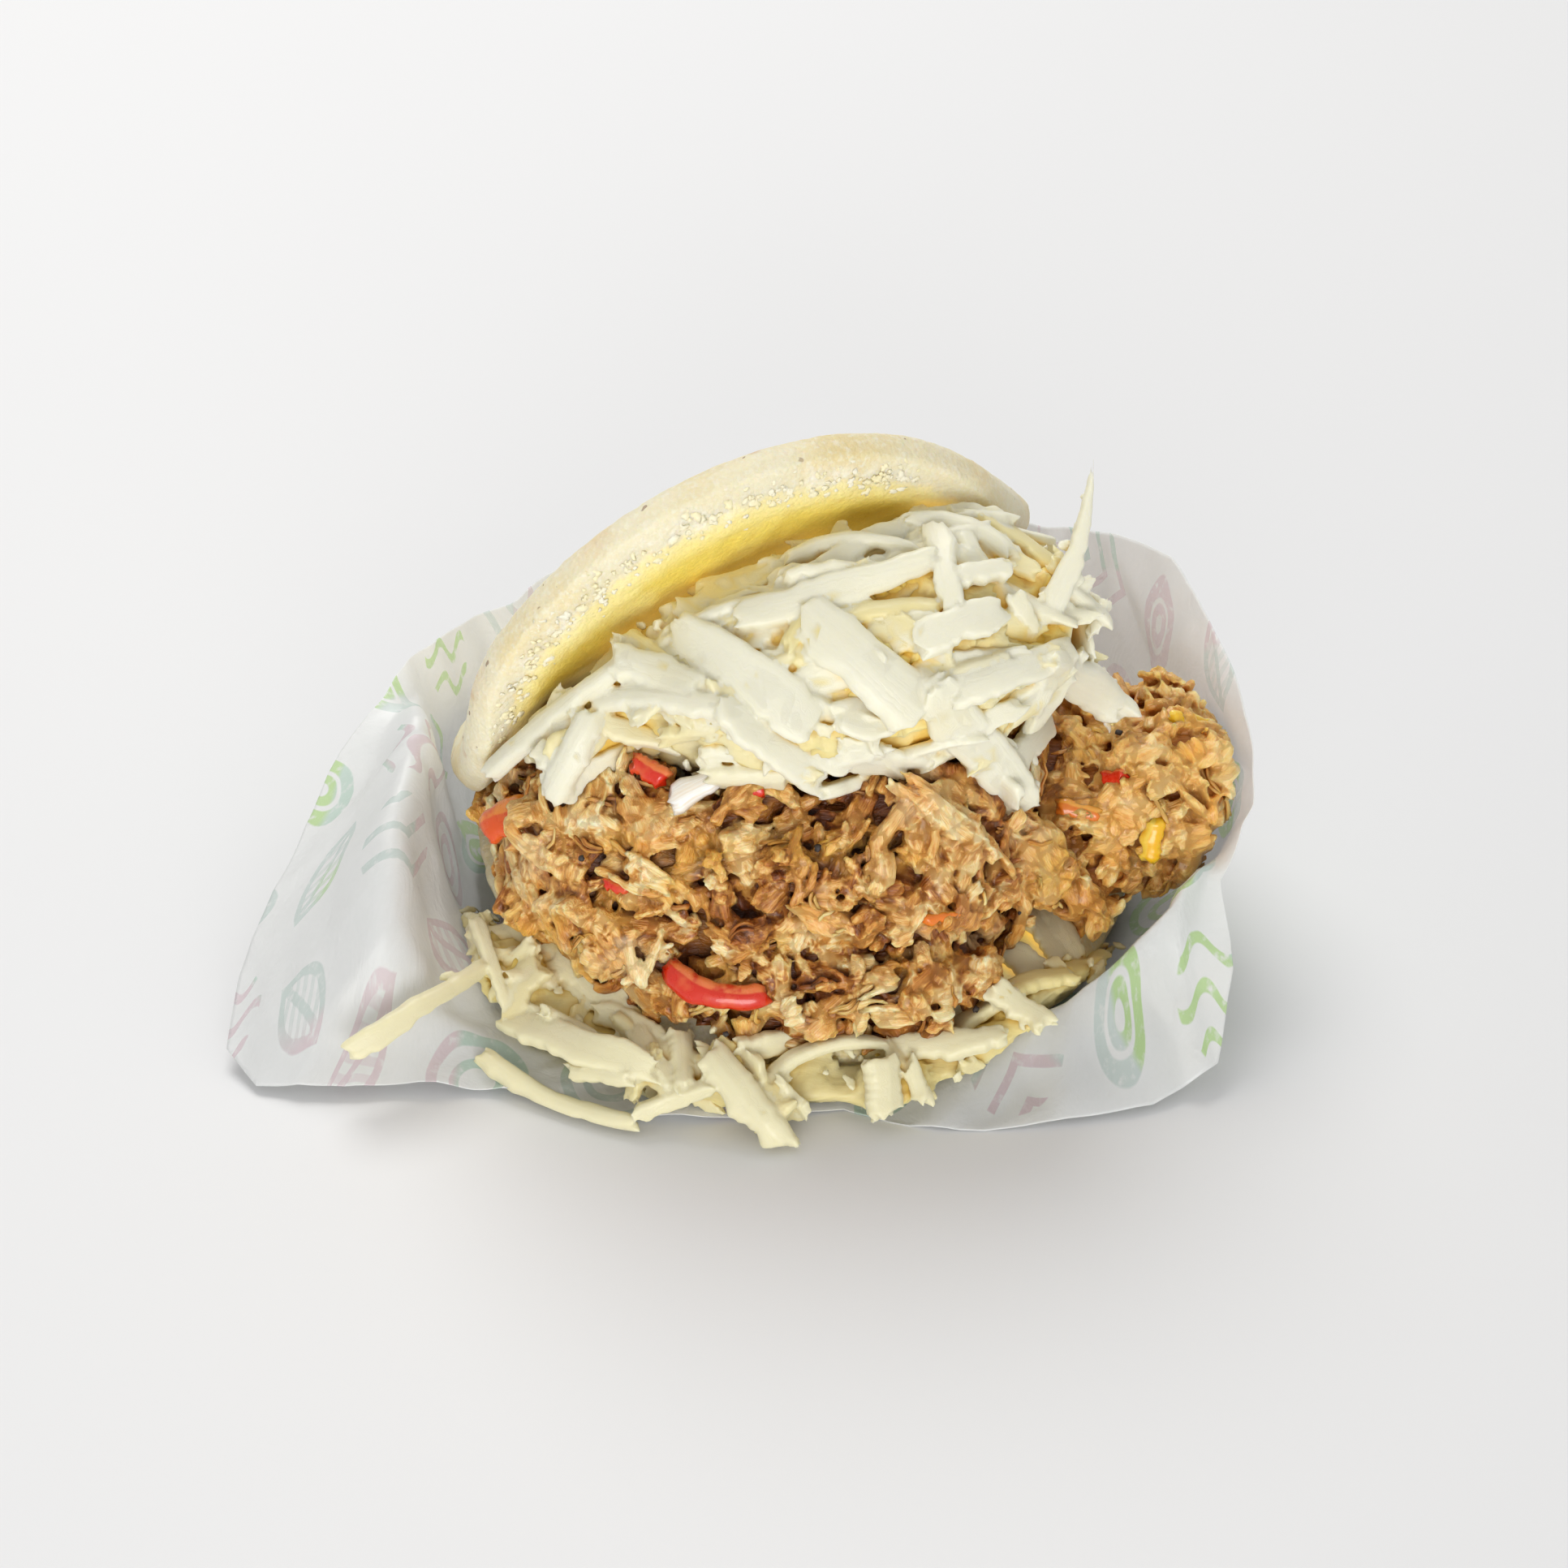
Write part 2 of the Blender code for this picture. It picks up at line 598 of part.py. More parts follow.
def place_strip(ground, obstacles, sizes, thickness, lifts):
    """What strip takes to lay a piece on the ground, raised until it is clear, or None."""
    across, up, turn, length, width, bend, pointed = sizes
    for lift in lifts:
        path, facing = lay(ground, across, up, turn, length, bend, lift)
        if path is None:
            return None
        placed = (path, facing, width, thickness, pointed)
        grown = strip(*placed, grow=GAP)
        blocked = crosses(grown, obstacles)
        grown.free()
        if not blocked:
            return placed
    return None


def place_strips(ground, obstacles, pieces, thickness, lifts):
    placed = [place_strip(ground, obstacles, sizes, thickness, lifts) for sizes in pieces]
    return [strip_values for strip_values in placed if strip_values]


def is_inside(bulk, point):
    """Whether a point is inside a closed surface that faces out."""
    _, normal, _, _ = bulk.ray_cast(point, PROBE)
    return normal is not None and normal.dot(PROBE) > 0


def surface_point(draw, faces, areas):
    """A random point of a core's surface, with its normal."""
    face = draw.choices(faces, areas)[0]
    return face.calc_center_median(), face.normal.copy()


def scatter(core, obstacles, bulk, count, seed, make):
    """Random pieces on a core, which make builds, clear of the obstacles and the bulk."""
    draw = random.Random(seed)
    bm = bmesh.new()
    bm.from_mesh(core.data)
    bm.transform(Matrix.Scale(1 / MM, 4))
    bm.faces.ensure_lookup_table()
    tree = BVHTree.FromBMesh(bm)
    faces = list(bm.faces)
    areas = [face.calc_area() for face in faces]
    placed, pieces = [], []
    for _ in range(count * 12):
        if len(pieces) == count:
            break
        point, normal = surface_point(draw, faces, areas)
        if placed and min((point - other).length for other in placed) < SCATTER_SPACING:
            continue
        if bulk and is_inside(bulk, point + normal):
            continue
        if obstacles.ray_cast(point, normal, COVERED)[0] or normal.z < LOWEST_FACE:
            continue
        shape, grown = make(draw, tree, point, normal)
        if crosses(grown, obstacles):
            shape.free()
        else:
            placed.append(point)
            pieces.append(new_object("piece", shape))
        grown.free()
    bm.free()
    return pieces


def draped_path(tree, point, way, length, lift, points=5):
    """A line along the surface near a point, raised by lift."""
    path = []
    for i in range(points):
        spot = point + way * length * (i / (points - 1) - 0.5)
        near, normal, _, _ = tree.find_nearest(spot)
        path.append(near.lerp(spot, 0.35) + normal * lift)
    return path


def tangent(draw, normal):
    """A random direction along a surface."""
    way = Vector([draw.uniform(-1, 1) for _ in range(3)])
    return (way - normal * way.dot(normal)).normalized()


def random_shred(draw, tree, point, normal):
    """A short shred of cheese lying on the surface."""
    length = draw.uniform(11, 20)
    width = draw.uniform(3.5, 6.0)
    path = draped_path(tree, point, tangent(draw, normal), length, draw.uniform(0.4, 1.4))
    pointed = draw.uniform(0.0, 0.5)
    return (strip(path, normal, width, SHRED_THICKNESS, pointed, segments=4),
            strip(path, normal, width, SHRED_THICKNESS, pointed, segments=4, grow=GAP))


def random_pork(draw, tree, point, normal):
    """A lump of pork, or in one case of two a strand."""
    if draw.random() < 0.5:
        length = draw.uniform(10, 18)
        path = draped_path(tree, point, tangent(draw, normal), length, 0.6)
        width = draw.uniform(2.4, 4.0)
        return (strip(path, normal, width, 2.4, 0.4, segments=4),
                strip(path, normal, width, 2.4, 0.4, segments=4, grow=GAP))
    sizes = [draw.uniform(3.6, 6.5) for _ in range(2)] + [draw.uniform(2.4, 3.4)]
    turn = normal.to_track_quat("Z", "Y").to_matrix().to_4x4()
    place = Matrix.Translation(point + normal * 0.6) @ turn
    shapes = []
    shift = Vector([draw.uniform(0, 50) for _ in range(3)])
    for grow in (0.0, GAP):
        bm = bmesh.new()
        bmesh.ops.create_icosphere(bm, subdivisions=2, radius=1.0)
        for vertex in bm.verts:
            bump = 1.0 + 0.28 * noise.noise(vertex.co * 1.6 + shift)
            vertex.co = Vector([vertex.co[i] * (sizes[i] * bump + grow) for i in range(3)])
        bm.transform(place)
        shapes.append(bm)
    return shapes


def fit_core(core, room):
    """Takes from a heap's core the room that its neighbours need."""
    combine(core, room, "DIFFERENCE")
    keep_one_body(core)


def top_bodies(grow=0.0):
    return [blob(*body, detail=3, grow=grow) for body in (CHEESE_TOP_CORE, CHEESE_TOP_LEFT)]


def cheese_core(name, shapes, room, material):
    core = new_object(name, shapes[0], material)
    show(core)
    if len(shapes) > 1:
        combine(core, [new_object("part", shape) for shape in shapes[1:]], "UNION")
    fit_core(core, room)
    return core


def pork_body(material):
    """The pork's body, before its neighbours are taken from it."""
    body = new_object("pulled_pork", blob(*PORK_BODY, detail=3), material)
    show(body)
    others = [blob(*shape, detail=3) for shape in (PORK_LOBE, PORK_FRONT)]
    combine(body, [new_object("part", shape) for shape in others], "UNION")
    keep_one_body(body)
    return body


def topping_shape(ground, sizes, grow=0.0):
    across, up, turn, length, width, bend, pointed, thickness = sizes
    path, facing = lay(ground, across, up, turn, length, bend, thickness * 0.3)
    return strip(path, facing, width, thickness, pointed, segments=6, grow=grow)


def make_toppings(ground, looks):
    toppings = []
    for name, look, sizes in TOPPINGS:
        topping = new_object(name, topping_shape(ground, sizes), looks[look])
        show(topping)
        toppings.append(topping)
    return toppings


def topping_room(ground):
    return [new_object("room", topping_shape(ground, sizes, ROOM)) for _, _, sizes in TOPPINGS]


def strip_room(placed, bulk):
    """Room for the laid strips that press into the bulk."""
    room = []
    for values in placed:
        grown = strip(*values, grow=ROOM)
        if crosses(grown, bulk):
            room.append(new_object("room", grown))
        else:
            grown.free()
    return room


def join_pieces(core, placed, pieces):
    """Fuses laid strips and random pieces to a core."""
    combine(core, [new_object("piece", strip(*values)) for values in placed] + pieces, "UNION")
    keep_one_body(core)


def main():
    clear_scene()
    looks = {name: new_material(name, *look) for name, look in COLOURS.items()}
    paper = make_paper(looks["paper"])
    bread = make_bread(looks["bread"])
    pork = pork_body(looks["pork"])
    bare = tree_of([pork])
    toppings = make_toppings(bare, looks)

    room = bread_room() + [paper_room()] + topping_room(bare)
    top = cheese_core("cheese_top", top_bodies(), room, looks["cheese"])
    room = bread_room() + [paper_room()] + topping_room(bare)
    foot = cheese_core("cheese_base", [crescent()], room, looks["cheese"])
    fixed = tree_of([bread, paper] + toppings)
    top_strips = place_strips(tree_of([top, pork]), fixed, TOP_SHREDS, SHRED_THICKNESS, LIFTS)
    foot_strips = place_strips(tree_of([foot, pork, bread, paper]), fixed, FOOT_SHREDS,
                               SHRED_THICKNESS, LIFTS)

    room = bread_room() + [paper_room()] + topping_room(bare)
    room += strip_room(top_strips + foot_strips, bare)
    room += [new_object("room", shape) for shape in top_bodies(ROOM) + [crescent(ROOM)]]
    fit_core(pork, room)

    around = tree_of([bread, paper, pork] + toppings)
    join_pieces(top, top_strips, scatter(top, around, bare, TOP_RANDOM, SEED, random_shred))
    join_pieces(foot, foot_strips,
                scatter(foot, around, bare, FOOT_RANDOM, SEED + 1, random_shred))
    around = tree_of([bread, paper, top, foot] + toppings)
    chunks = []
    for *sizes, thickness in PORK_CHUNKS:
        chunks += place_strips(tree_of([pork]), around, [sizes], thickness, LIFTS)
    join_pieces(pork, chunks, scatter(pork, around, None, PORK_RANDOM, SEED + 2, random_pork))


main()
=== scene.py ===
"""A pork and cheese arepa in its paper on a pale table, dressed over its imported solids.

Shapes are worked out in millimetres and turned into metres where a mesh is made. The camera
looks along +Y and down, at the side where the bread gapes.
"""
import functools
import json
import math
import random

import bmesh
import bpy
import numpy as np
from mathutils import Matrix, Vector, noise
from mathutils.bvhtree import BVHTree
from mathutils.kdtree import KDTree

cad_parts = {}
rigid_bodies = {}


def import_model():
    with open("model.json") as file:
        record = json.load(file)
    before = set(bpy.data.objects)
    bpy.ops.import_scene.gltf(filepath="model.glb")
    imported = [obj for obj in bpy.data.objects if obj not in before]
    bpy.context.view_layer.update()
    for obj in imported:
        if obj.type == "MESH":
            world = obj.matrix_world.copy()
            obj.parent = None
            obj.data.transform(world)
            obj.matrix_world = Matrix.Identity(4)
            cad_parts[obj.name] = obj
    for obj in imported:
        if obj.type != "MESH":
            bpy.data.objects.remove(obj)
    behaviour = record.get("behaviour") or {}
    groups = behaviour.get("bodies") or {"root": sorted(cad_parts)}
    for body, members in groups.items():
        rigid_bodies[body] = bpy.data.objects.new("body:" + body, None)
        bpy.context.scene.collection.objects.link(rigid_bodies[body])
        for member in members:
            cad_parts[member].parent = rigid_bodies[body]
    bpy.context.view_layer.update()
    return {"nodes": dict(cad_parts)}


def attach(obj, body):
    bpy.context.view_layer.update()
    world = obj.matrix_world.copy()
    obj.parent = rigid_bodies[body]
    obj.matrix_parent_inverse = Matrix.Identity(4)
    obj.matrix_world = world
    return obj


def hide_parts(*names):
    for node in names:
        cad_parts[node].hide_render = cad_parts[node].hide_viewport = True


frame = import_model()
MM = 0.001
SEED = 11

# The photograph's view
VIEW_ELEVATION = math.radians(34.5)
VIEW_TARGET = Vector((-3.7, 0.0, 25.2))
VIEW_DISTANCE = 861.5
VIEW_LENS = 104.3
VIEW_SENSOR = 36.0
VIEW_AHEAD = Vector((0.0, math.cos(VIEW_ELEVATION), -math.sin(VIEW_ELEVATION)))
VIEW_RIGHT = Vector((1.0, 0.0, 0.0))
VIEW_UP = Vector((0.0, math.sin(VIEW_ELEVATION), math.cos(VIEW_ELEVATION)))
VIEW_EYE = VIEW_TARGET - VIEW_AHEAD * VIEW_DISTANCE

# Bread, as in the solids
BREAD_RADIUS = 62.0
BREAD_THICKNESS = 11.0
BREAD_CROWN = 0.6
CRUST_ROUND = 6.2
CUT_BEVEL = 11.0
BREAD_CRAGS = 0.5
BREAD_STEPS = 300
CRUMB_COUNT = 1100  # tries at crumbs along both halves' cut edges
CRUMB_PLACE = (0.4, 0.2)  # their mean place across the cut and its spread
BASE_FLOOR = 1.15
BASE_CURL = 9.0
BASE_CURL_FROM = 0.45
BASE_CURL_SIDE = math.radians(158)
LID_CENTRE = Vector((-16.8, 12.8, 62.4))
LID_TILT = math.radians(22.2)
LID_OPENING = math.radians(8.0)
LID_PEAK = 21.0
ARCH_RADIUS = 220.0
RIGHT_CURL = 6.1e-4
LEFT_CURL_START = -36.0
LEFT_CURL_RADIUS = 30.0
LIP_START = 18.0
LIP_CURL = 0.0026

# Cheese shreds that show: across, up, turn, length, width, bend, pointedness
TOP_SHREDS = (
    (-24.5, 21.0, -21, 16, 6.2, 0, 0.0),
    (-5.0, 32.5, 14, 26, 2.8, 2, 0.6),
    (10.0, 37.0, 17, 39, 6.9, 0, 0.3),
    (17.0, 45.5, 27, 20, 4.6, 1, 0.2),
    (13.0, 43.0, 5, 25, 3.8, 3, 0.5),
    (33.0, 46.0, -15, 20, 4.6, 3, 0.3),
    (30.5, 41.0, -75, 15, 4.6, 0, 0.2),
    (-7.0, 20.5, -37, 32, 8.5, 0, 0.1),
    (15.0, 22.5, -42, 29, 9.5, 0, 0.0),
    (-23.0, 15.0, -6, 23, 5.4, 1, 0.1),
    (-42.5, 12.5, 39, 34, 4.6, 1, 0.3),
    (-40.0, 5.5, 65, 17, 5.8, 0, 0.1),
    (-2.5, 8.5, -40, 25, 7.2, -1, 0.2),
    (37.0, 7.0, -52, 28, 8.5, 0, 0.1),
    (45.5, 6.5, 55, 14, 6.2, 0, 0.1),
    (57.0, 18.0, -36, 18, 8.0, 1, 0.1),
    (43.5, 21.0, 21, 23, 6.2, 0, 0.2),
    (33.0, 30.0, 25, 17, 7.5, 0, 0.1),
    (57.5, 34.0, -38, 12, 3.0, 0, 0.6),
    (37.5, 40.0, 10, 9, 4.0, 0, 0.0),
    (54.5, 47.0, 74, 29, 4.4, -1.5, 0.95),
)
FOOT_SHREDS = (
    (-69.5, -42.5, 32, 30, 4.3, 0, 0.3),
    (-55.0, -35.5, -72, 20, 3.2, 0, 0.7),
    (-38.0, -49.5, -20, 28, 6.5, 0, 0.1),
    (-34.5, -55.0, -7, 12, 3.4, 0, 0.1),
    (-42.5, -58.0, -23, 32, 3.8, -2.5, 0.3),
    (-25.0, -52.0, -59, 14, 3.8, 0, 0.1),
    (-19.5, -53.0, -80, 11, 4.9, 0, 0.0),
    (-7.0, -60.0, -49, 22, 7.2, 0, 0.0),
    (-21.0, -60.0, 22, 15, 3.8, 0, 0.2),
    (8.5, -52.0, 15, 22, 3.0, 2.5, 0.3),
    (19.0, -57.5, -85, 10, 7.0, 0, 0.0),
    (25.0, -56.5, -70, 8, 3.8, 0, 0.0),
    (31.5, -49.0, 7, 22, 5.4, 0, 0.2),
    (44.5, -42.0, -35, 13, 5.4, 0, 0.0),
    (49.5, -36.5, -62, 16, 7.0, 0, 0.1),
    (50.0, -29.0, -58, 15, 6.0, 0, 0.2),
    (55.0, -25.0, -42, 14, 5.0, 0.5, 0.3),
    (-43.5, -32.0, -38, 18, 5.0, 0, 0.2),
    (-37.0, -37.5, -30, 16, 5.5, 0.5, 0.1),
    (-49.0, -25.0, -62, 13, 4.2, 0, 0.4),
    (-34.0, -41.0, -38, 15, 6.0, 0, 0.1),
    (-29.0, -46.0, -25, 14, 5.0, 0.5, 0.2),
    (-3.0, -49.5, 10, 12, 5.0, 0, 0.1),
    (-50.0, -31.0, -50, 16, 5.0, 0, 0.1),
    (-45.5, -36.5, -20, 16, 5.0, 0, 0.1),
    (47.5, -28.5, -50, 16, 6.0, 0, 0.1),
    (52.5, -28.5, -65, 14, 5.5, 0, 0.1),
    (58.0, -23.5, -35, 14, 5.0, 0, 0.2),
    (44.5, -33.0, -30, 14, 6.0, 0, 0.1),
)
SHRED_THICKNESS = 3.2
SHRED_SPACING = 3.3
SHRED_GRID = 0.36  # fineness of the skin round a heap's shreds
SHRED_FACES = 145000
SHRED_SINK = 1.6  # how much deeper a random shred lies near one of the listed shreds
SINK_REACH = 5.5
BREAD_LIFT = 2.8  # height of a laid shred's middle where it lies on the bread
PROUD = 3.3  # most that a random shred stands over its heap's solid
CHEESE_CRUMB_SPACING = 3.0
CORE_GRID = 1.2
CORE_LUMPS = 0.9

# The two heaps: name, solid, laid shreds, random shreds, crumbs, the two ways in which the
# shreds mostly run in degrees, how far the meat's sauce stains them, inset of the core
HEAPS = (
    ("top", "cheese_top", TOP_SHREDS, 170, 120, (-38, 22), 0, 1.7),
    ("foot", "cheese_base", FOOT_SHREDS, 120, 50, (-30, 35), 7.0, 1.0),
)

# Meat
CLUMP_COUNT = 260
CLUMP_SPACING = 5.5
STRIP_COUNT = 190
STRIP_SPACING = 4.6
BUNDLE_COUNT = 470
BUNDLE_SPACING = 3.5
NUB_COUNT = 420
NUB_SPACING = 2.2
STRAND_COUNT = 110
STRAND_SPACING = 3.0
MEAT_ROOM = 1.5  # least free height over a piece of meat
MEAT_FLOOR = 0.9
MEAT_GRID = 0.4  # fineness of the skin round each mass
MEAT_FACES = 145000
MEAT_MIDDLE = 12.0  # where the left mass ends
MEAT_CORE_GRID = 1.5
MEAT_INSET = 2.2
MEAT_HOLLOW = 3.2
BLOCK_DEPTH = 3.0
BLOCK_SINK = 1.6
MEAT_PITS = ((-16.0, -22.5, 7.5), (-9.0, -25.0, 6.0), (8.0, -4.5, 6.5), (14.5, -12.5, 4.5),
             (44.0, -17.5, 5.0), (-29.5, -11.0, 4.5), (24.0, -18.0, 4.5), (1.0, -8.0, 4.0),
             (39.0, -30.0, 4.0), (58.0, -13.0, 4.0))  # across, up, reach
MEAT_BLOCKS = ((-8.2, -11.1, 15, 9.5, 6.5, 1.0), (49.0, -16.0, -32, 24, 13, 0.8),
               (-24.0, -9.0, 30, 12, 7, 0.8), (10.0, -25.0, -20, 14, 8, 0.75),
               (31.0, -6.0, -35, 20, 6, 0.9), (-34.0, -29.0, -60, 11, 6, 0.8),
               (26.0, -33.0, 35, 13, 7, 0.7), (66.0, -4.0, -10, 14, 8, 0.9),
               (70.0, 6.0, 25, 10, 7, 0.9))  # across, up, turn, length, width, tone

# Peppers and onion: solid, finish, then as the shreds, with the thickness last
TOPPINGS = (
    ("pepper_strip_front", "red", (-12.5, -37.5, -16, 19, 5.0, -2.6, 0.1, 2.6)),
    ("pepper_piece_left", "orange", (-52.0, -6.5, 22, 9, 7.0, 0, 0.1, 2.6)),
    ("pepper_piece_upper", "red", (-25.5, 2.5, -28, 7, 4.5, 0, 0.1, 2.4)),
    ("pepper_piece_right", "yellow", (70.0, -10.5, 80, 8, 4.0, 0, 0.1, 2.4)),
    ("onion_piece", "onion", (-15.0, 0.5, 33, 15, 5.5, 0, 0.2, 2.4)),
)
SMALL_BITS = (
    ("red", (-6.3, -0.3, -20, 4.5, 3.2, 0, 0.2, 2.0)),
    ("red", (62.9, 1.4, 10, 3.6, 3.0, 0, 0.2, 2.2)),
    ("red", (-31.7, -19.4, -15, 4.5, 2.0, 0, 0.2, 1.6)),
    ("red", (-52.5, 4.8, 40, 3.0, 1.8, 0, 0.2, 1.6)),
    ("yellow", (77.5, 11.7, -8, 8, 3.2, 0, 0.3, 1.8)),
    ("orange", (56.0, -5.2, -12, 8, 4.0, 0, 0.3, 2.0)),
    ("orange", (29.8, -25.2, 12, 7, 2.0, 0, 0.5, 1.6)),
    ("orange", (46.0, 8.0, -30, 5, 2.4, 0, 0.5, 1.6)),
)
TOPPING_LIFT = -1.1  # height of a piece's middle over its own solid, and of a bit's
BIT_LIFT = 0.1
PEPPERCORN_LIFT = 0.9
PEPPERCORN_SPOTS = ((63.5, 9.1), (-10.9, -47.5), (-0.3, -49.7), (35.7, -42.5), (7.0, -12.0),
                    (-38.0, -14.0), (20.0, -35.0), (44.0, -24.0))

# The paper, as in the solids: at each angle, reach and height of foot, crest and edge
PAPER_STATIONS = (
    (0, (64, 1), (77, 20), (83, 44)),
    (10, (64, 1), (73, 26), (78, 54)),
    (20, (64, 1), (71, 29), (75, 60)),
    (32, (65, 1), (70, 29), (71, 58)),
    (46, (65, 1), (69, 27), (70, 52)),
    (64, (65, 1), (70, 25), (71, 47)),
    (90, (65, 1), (69, 24), (72, 45)),
    (118, (65, 1), (69, 22), (73, 41)),
    (142, (65, 1), (71, 21), (74, 37)),
    (158, (65, 1), (72, 24), (75, 41)),
    (168, (65, 1), (73, 31), (77, 43)),
    (176, (65, 1), (72, 38), (80, 40)),
    (182, (64, 1), (71, 41), (87, 34)),
    (188, (64, 1), (72, 41), (93, 26)),
    (195, (64, 1), (76, 39), (103, 16)),
    (201, (64, 1), (80, 36), (111, 9)),
    (207, (64, 1), (84, 32), (118, 3)),
    (212, (64, 1), (88, 25), (117, 1.2)),
    (217, (64, 0.8), (86, 11), (106, 3)),
    (222, (64, 0.6), (80, 5), (94, 3)),
    (229, (64, 0.5), (74, 2.5), (84, 1.5)),
    (240, (63, 0.5), (70, 1.5), (80, 0.8)),
    (252, (62, 0.4), (68, 1.0), (75, 0.6)),
    (264, (61, 0.3), (65, 0.8), (70, 0.5)),
    (276, (61, 0.3), (64, 0.8), (68, 0.5)),
    (284, (61, 0.4), (66, 1.5), (74, 0.6)),
    (293, (62, 0.6), (67, 3.0), (80, 0.8)),
    (303, (62, 0.8), (68, 7), (85, 0.8)),
    (313, (62, 1), (71, 14), (92, 1.0)),
    (321, (63, 1), (75, 21), (96, 5)),
    (328, (63, 1), (78, 27), (92, 18)),
    (335, (63, 1), (79, 29), (84, 29)),
    (345, (64, 1), (80, 22), (86, 36)),
)
PAPER_LINES = 13  # radial lines from one station to the next, and points along each
PAPER_SECTION = 76
PAPER_FOLDS = 70
PAPER_FLAT = 0.82  # flat share of the foot's reach
PAPER_SOLID = 0.8  # thickness of the solid, and of the sheet that shows
PAPER_SHEET = 0.16
PRINT_CELL = 25.0

# Studio, in metres and watts
TABLE_HALF = 3.0
LAMP_AIM = Vector((0, 0, 0.04))
WINDOW = ("window", (-0.22, 0.7, 1.0), 0.8, 8.0, (1.0, 0.99, 0.97))
FRONT_FILL = ("front_fill", (0.0, -1.1, 0.14), 0.8, 9.5)
STUDIO_STRENGTH = 0.54

OPEN_REACH = 7.0  # how far the food's openness is looked for
SOFT_ROUNDS = 14  # smoothing rounds that tell relief from form


def rgb(red, green, blue):
    """A colour from its screen values, 0 to 255, as linear light."""
    def linear(value):
        value /= 255
        return value / 12.92 if value <= 0.04045 else ((value + 0.055) / 1.055) ** 2.4
    return (linear(red), linear(green), linear(blue), 1.0)


def smooth(value, low, high):
    """0 below low, 1 above high and smooth between them."""
    share = min(max((value - low) / (high - low), 0.0), 1.0)
    return share * share * (3.0 - 2.0 * share)


class Value:
    """A node's output that can stand in sums."""

    def __init__(self, finish, socket):
        self.finish = finish
        self.socket = socket

    def math(self, operation, *others):
        inputs = {i: other for i, other in enumerate((self, *others))}
        return self.finish.node("ShaderNodeMath", {"operation": operation}, inputs)

    def __add__(self, other):
        return self.math("ADD", other)

    def __sub__(self, other):
        return self.math("SUBTRACT", other)

    def __mul__(self, other):
        return self.math("MULTIPLY", other)

    def __truediv__(self, other):
        return self.math("DIVIDE", other)

    def __abs__(self):
        return self.math("ABSOLUTE")

    def __rsub__(self, other):
        return self * -1.0 + other

    def __rtruediv__(self, other):
        return self.finish.node("ShaderNodeMath", {"operation": "DIVIDE"}, {0: other, 1: self})

    __radd__ = __add__
    __rmul__ = __mul__

    def between(self, low, high):
        """0 below low, 1 above high and smooth between them."""
        return self.finish.node("ShaderNodeMapRange", {"interpolation_type": "SMOOTHSTEP"},
                                {"Value": self, "From Min": low, "From Max": high})


class Finish:
    """A material built on one Principled shader."""

    def __init__(self, name, **settings):
        self.material = bpy.data.materials.new(name)
        self.material.use_nodes = True
        self.nodes = self.material.node_tree.nodes
        self.links = self.material.node_tree.links
        self.shader = self.nodes["Principled BSDF"]
        for socket, value in settings.items():
            self.shader.inputs[socket.replace("_", " ").title()].default_value = value

    def node(self, kind, settings=None, inputs=None, output=0):
        """A node's output: its settings are set first, then its sockets' values or links."""
        made = self.nodes.new(kind)
        for key, value in (settings or {}).items():
            if key == "stops":
                stops = made.color_ramp.elements
                while len(stops) < len(value):
                    stops.new(1.0)
                for stop, (position, colour) in zip(stops, value):
                    stop.position = position
                    stop.color = colour
            else:
                setattr(made, key, value)
        for key, value in (inputs or {}).items():
            if isinstance(value, Value):
                self.links.new(value.socket, made.inputs[key])
            else:
                made.inputs[key].default_value = value
        return Value(self, made.outputs[output])

    def feed(self, socket, value):
        self.links.new(value.socket, self.shader.inputs[socket])

    def attribute(self, name):
        return self.node("ShaderNodeAttribute", {"attribute_name": name}, {}, "Vector")

    def parts(self, vector):
        return [self.node("ShaderNodeSeparateXYZ", {}, {0: vector}, i) for i in range(3)]

    def join(self, x, y, z):
        return self.node("ShaderNodeCombineXYZ", {}, {0: x, 1: y, 2: z})

    def place(self):
        return self.node("ShaderNodeTexCoord", {}, {}, "Object")

    def scaled(self, vector, by):
        return self.node("ShaderNodeVectorMath", {"operation": "MULTIPLY"}, {0: vector, 1: by})

    def noise(self, where, scale, detail=2.0, roughness=0.5, distortion=0.0):
        return self.node("ShaderNodeTexNoise", {}, {
            "Vector": where, "Scale": scale, "Detail": detail, "Roughness": roughness,
            "Distortion": distortion})

    def cells(self, where, scale):
        return self.node("ShaderNodeTexVoronoi", {}, {"Vector": where, "Scale": scale})

    def mix(self, share, first, second):
        return self.node("ShaderNodeMix", {"data_type": "RGBA"},
                         {0: share, 6: first, 7: second}, 2)

    def ramp(self, value, *stops):
        return self.node("ShaderNodeValToRGB", {"stops": stops}, {0: value})

    def bump(self, height, strength, distance):
        self.feed("Normal", self.node("ShaderNodeBump", {}, {
            "Height": height, "Strength": strength, "Distance": distance * MM}))


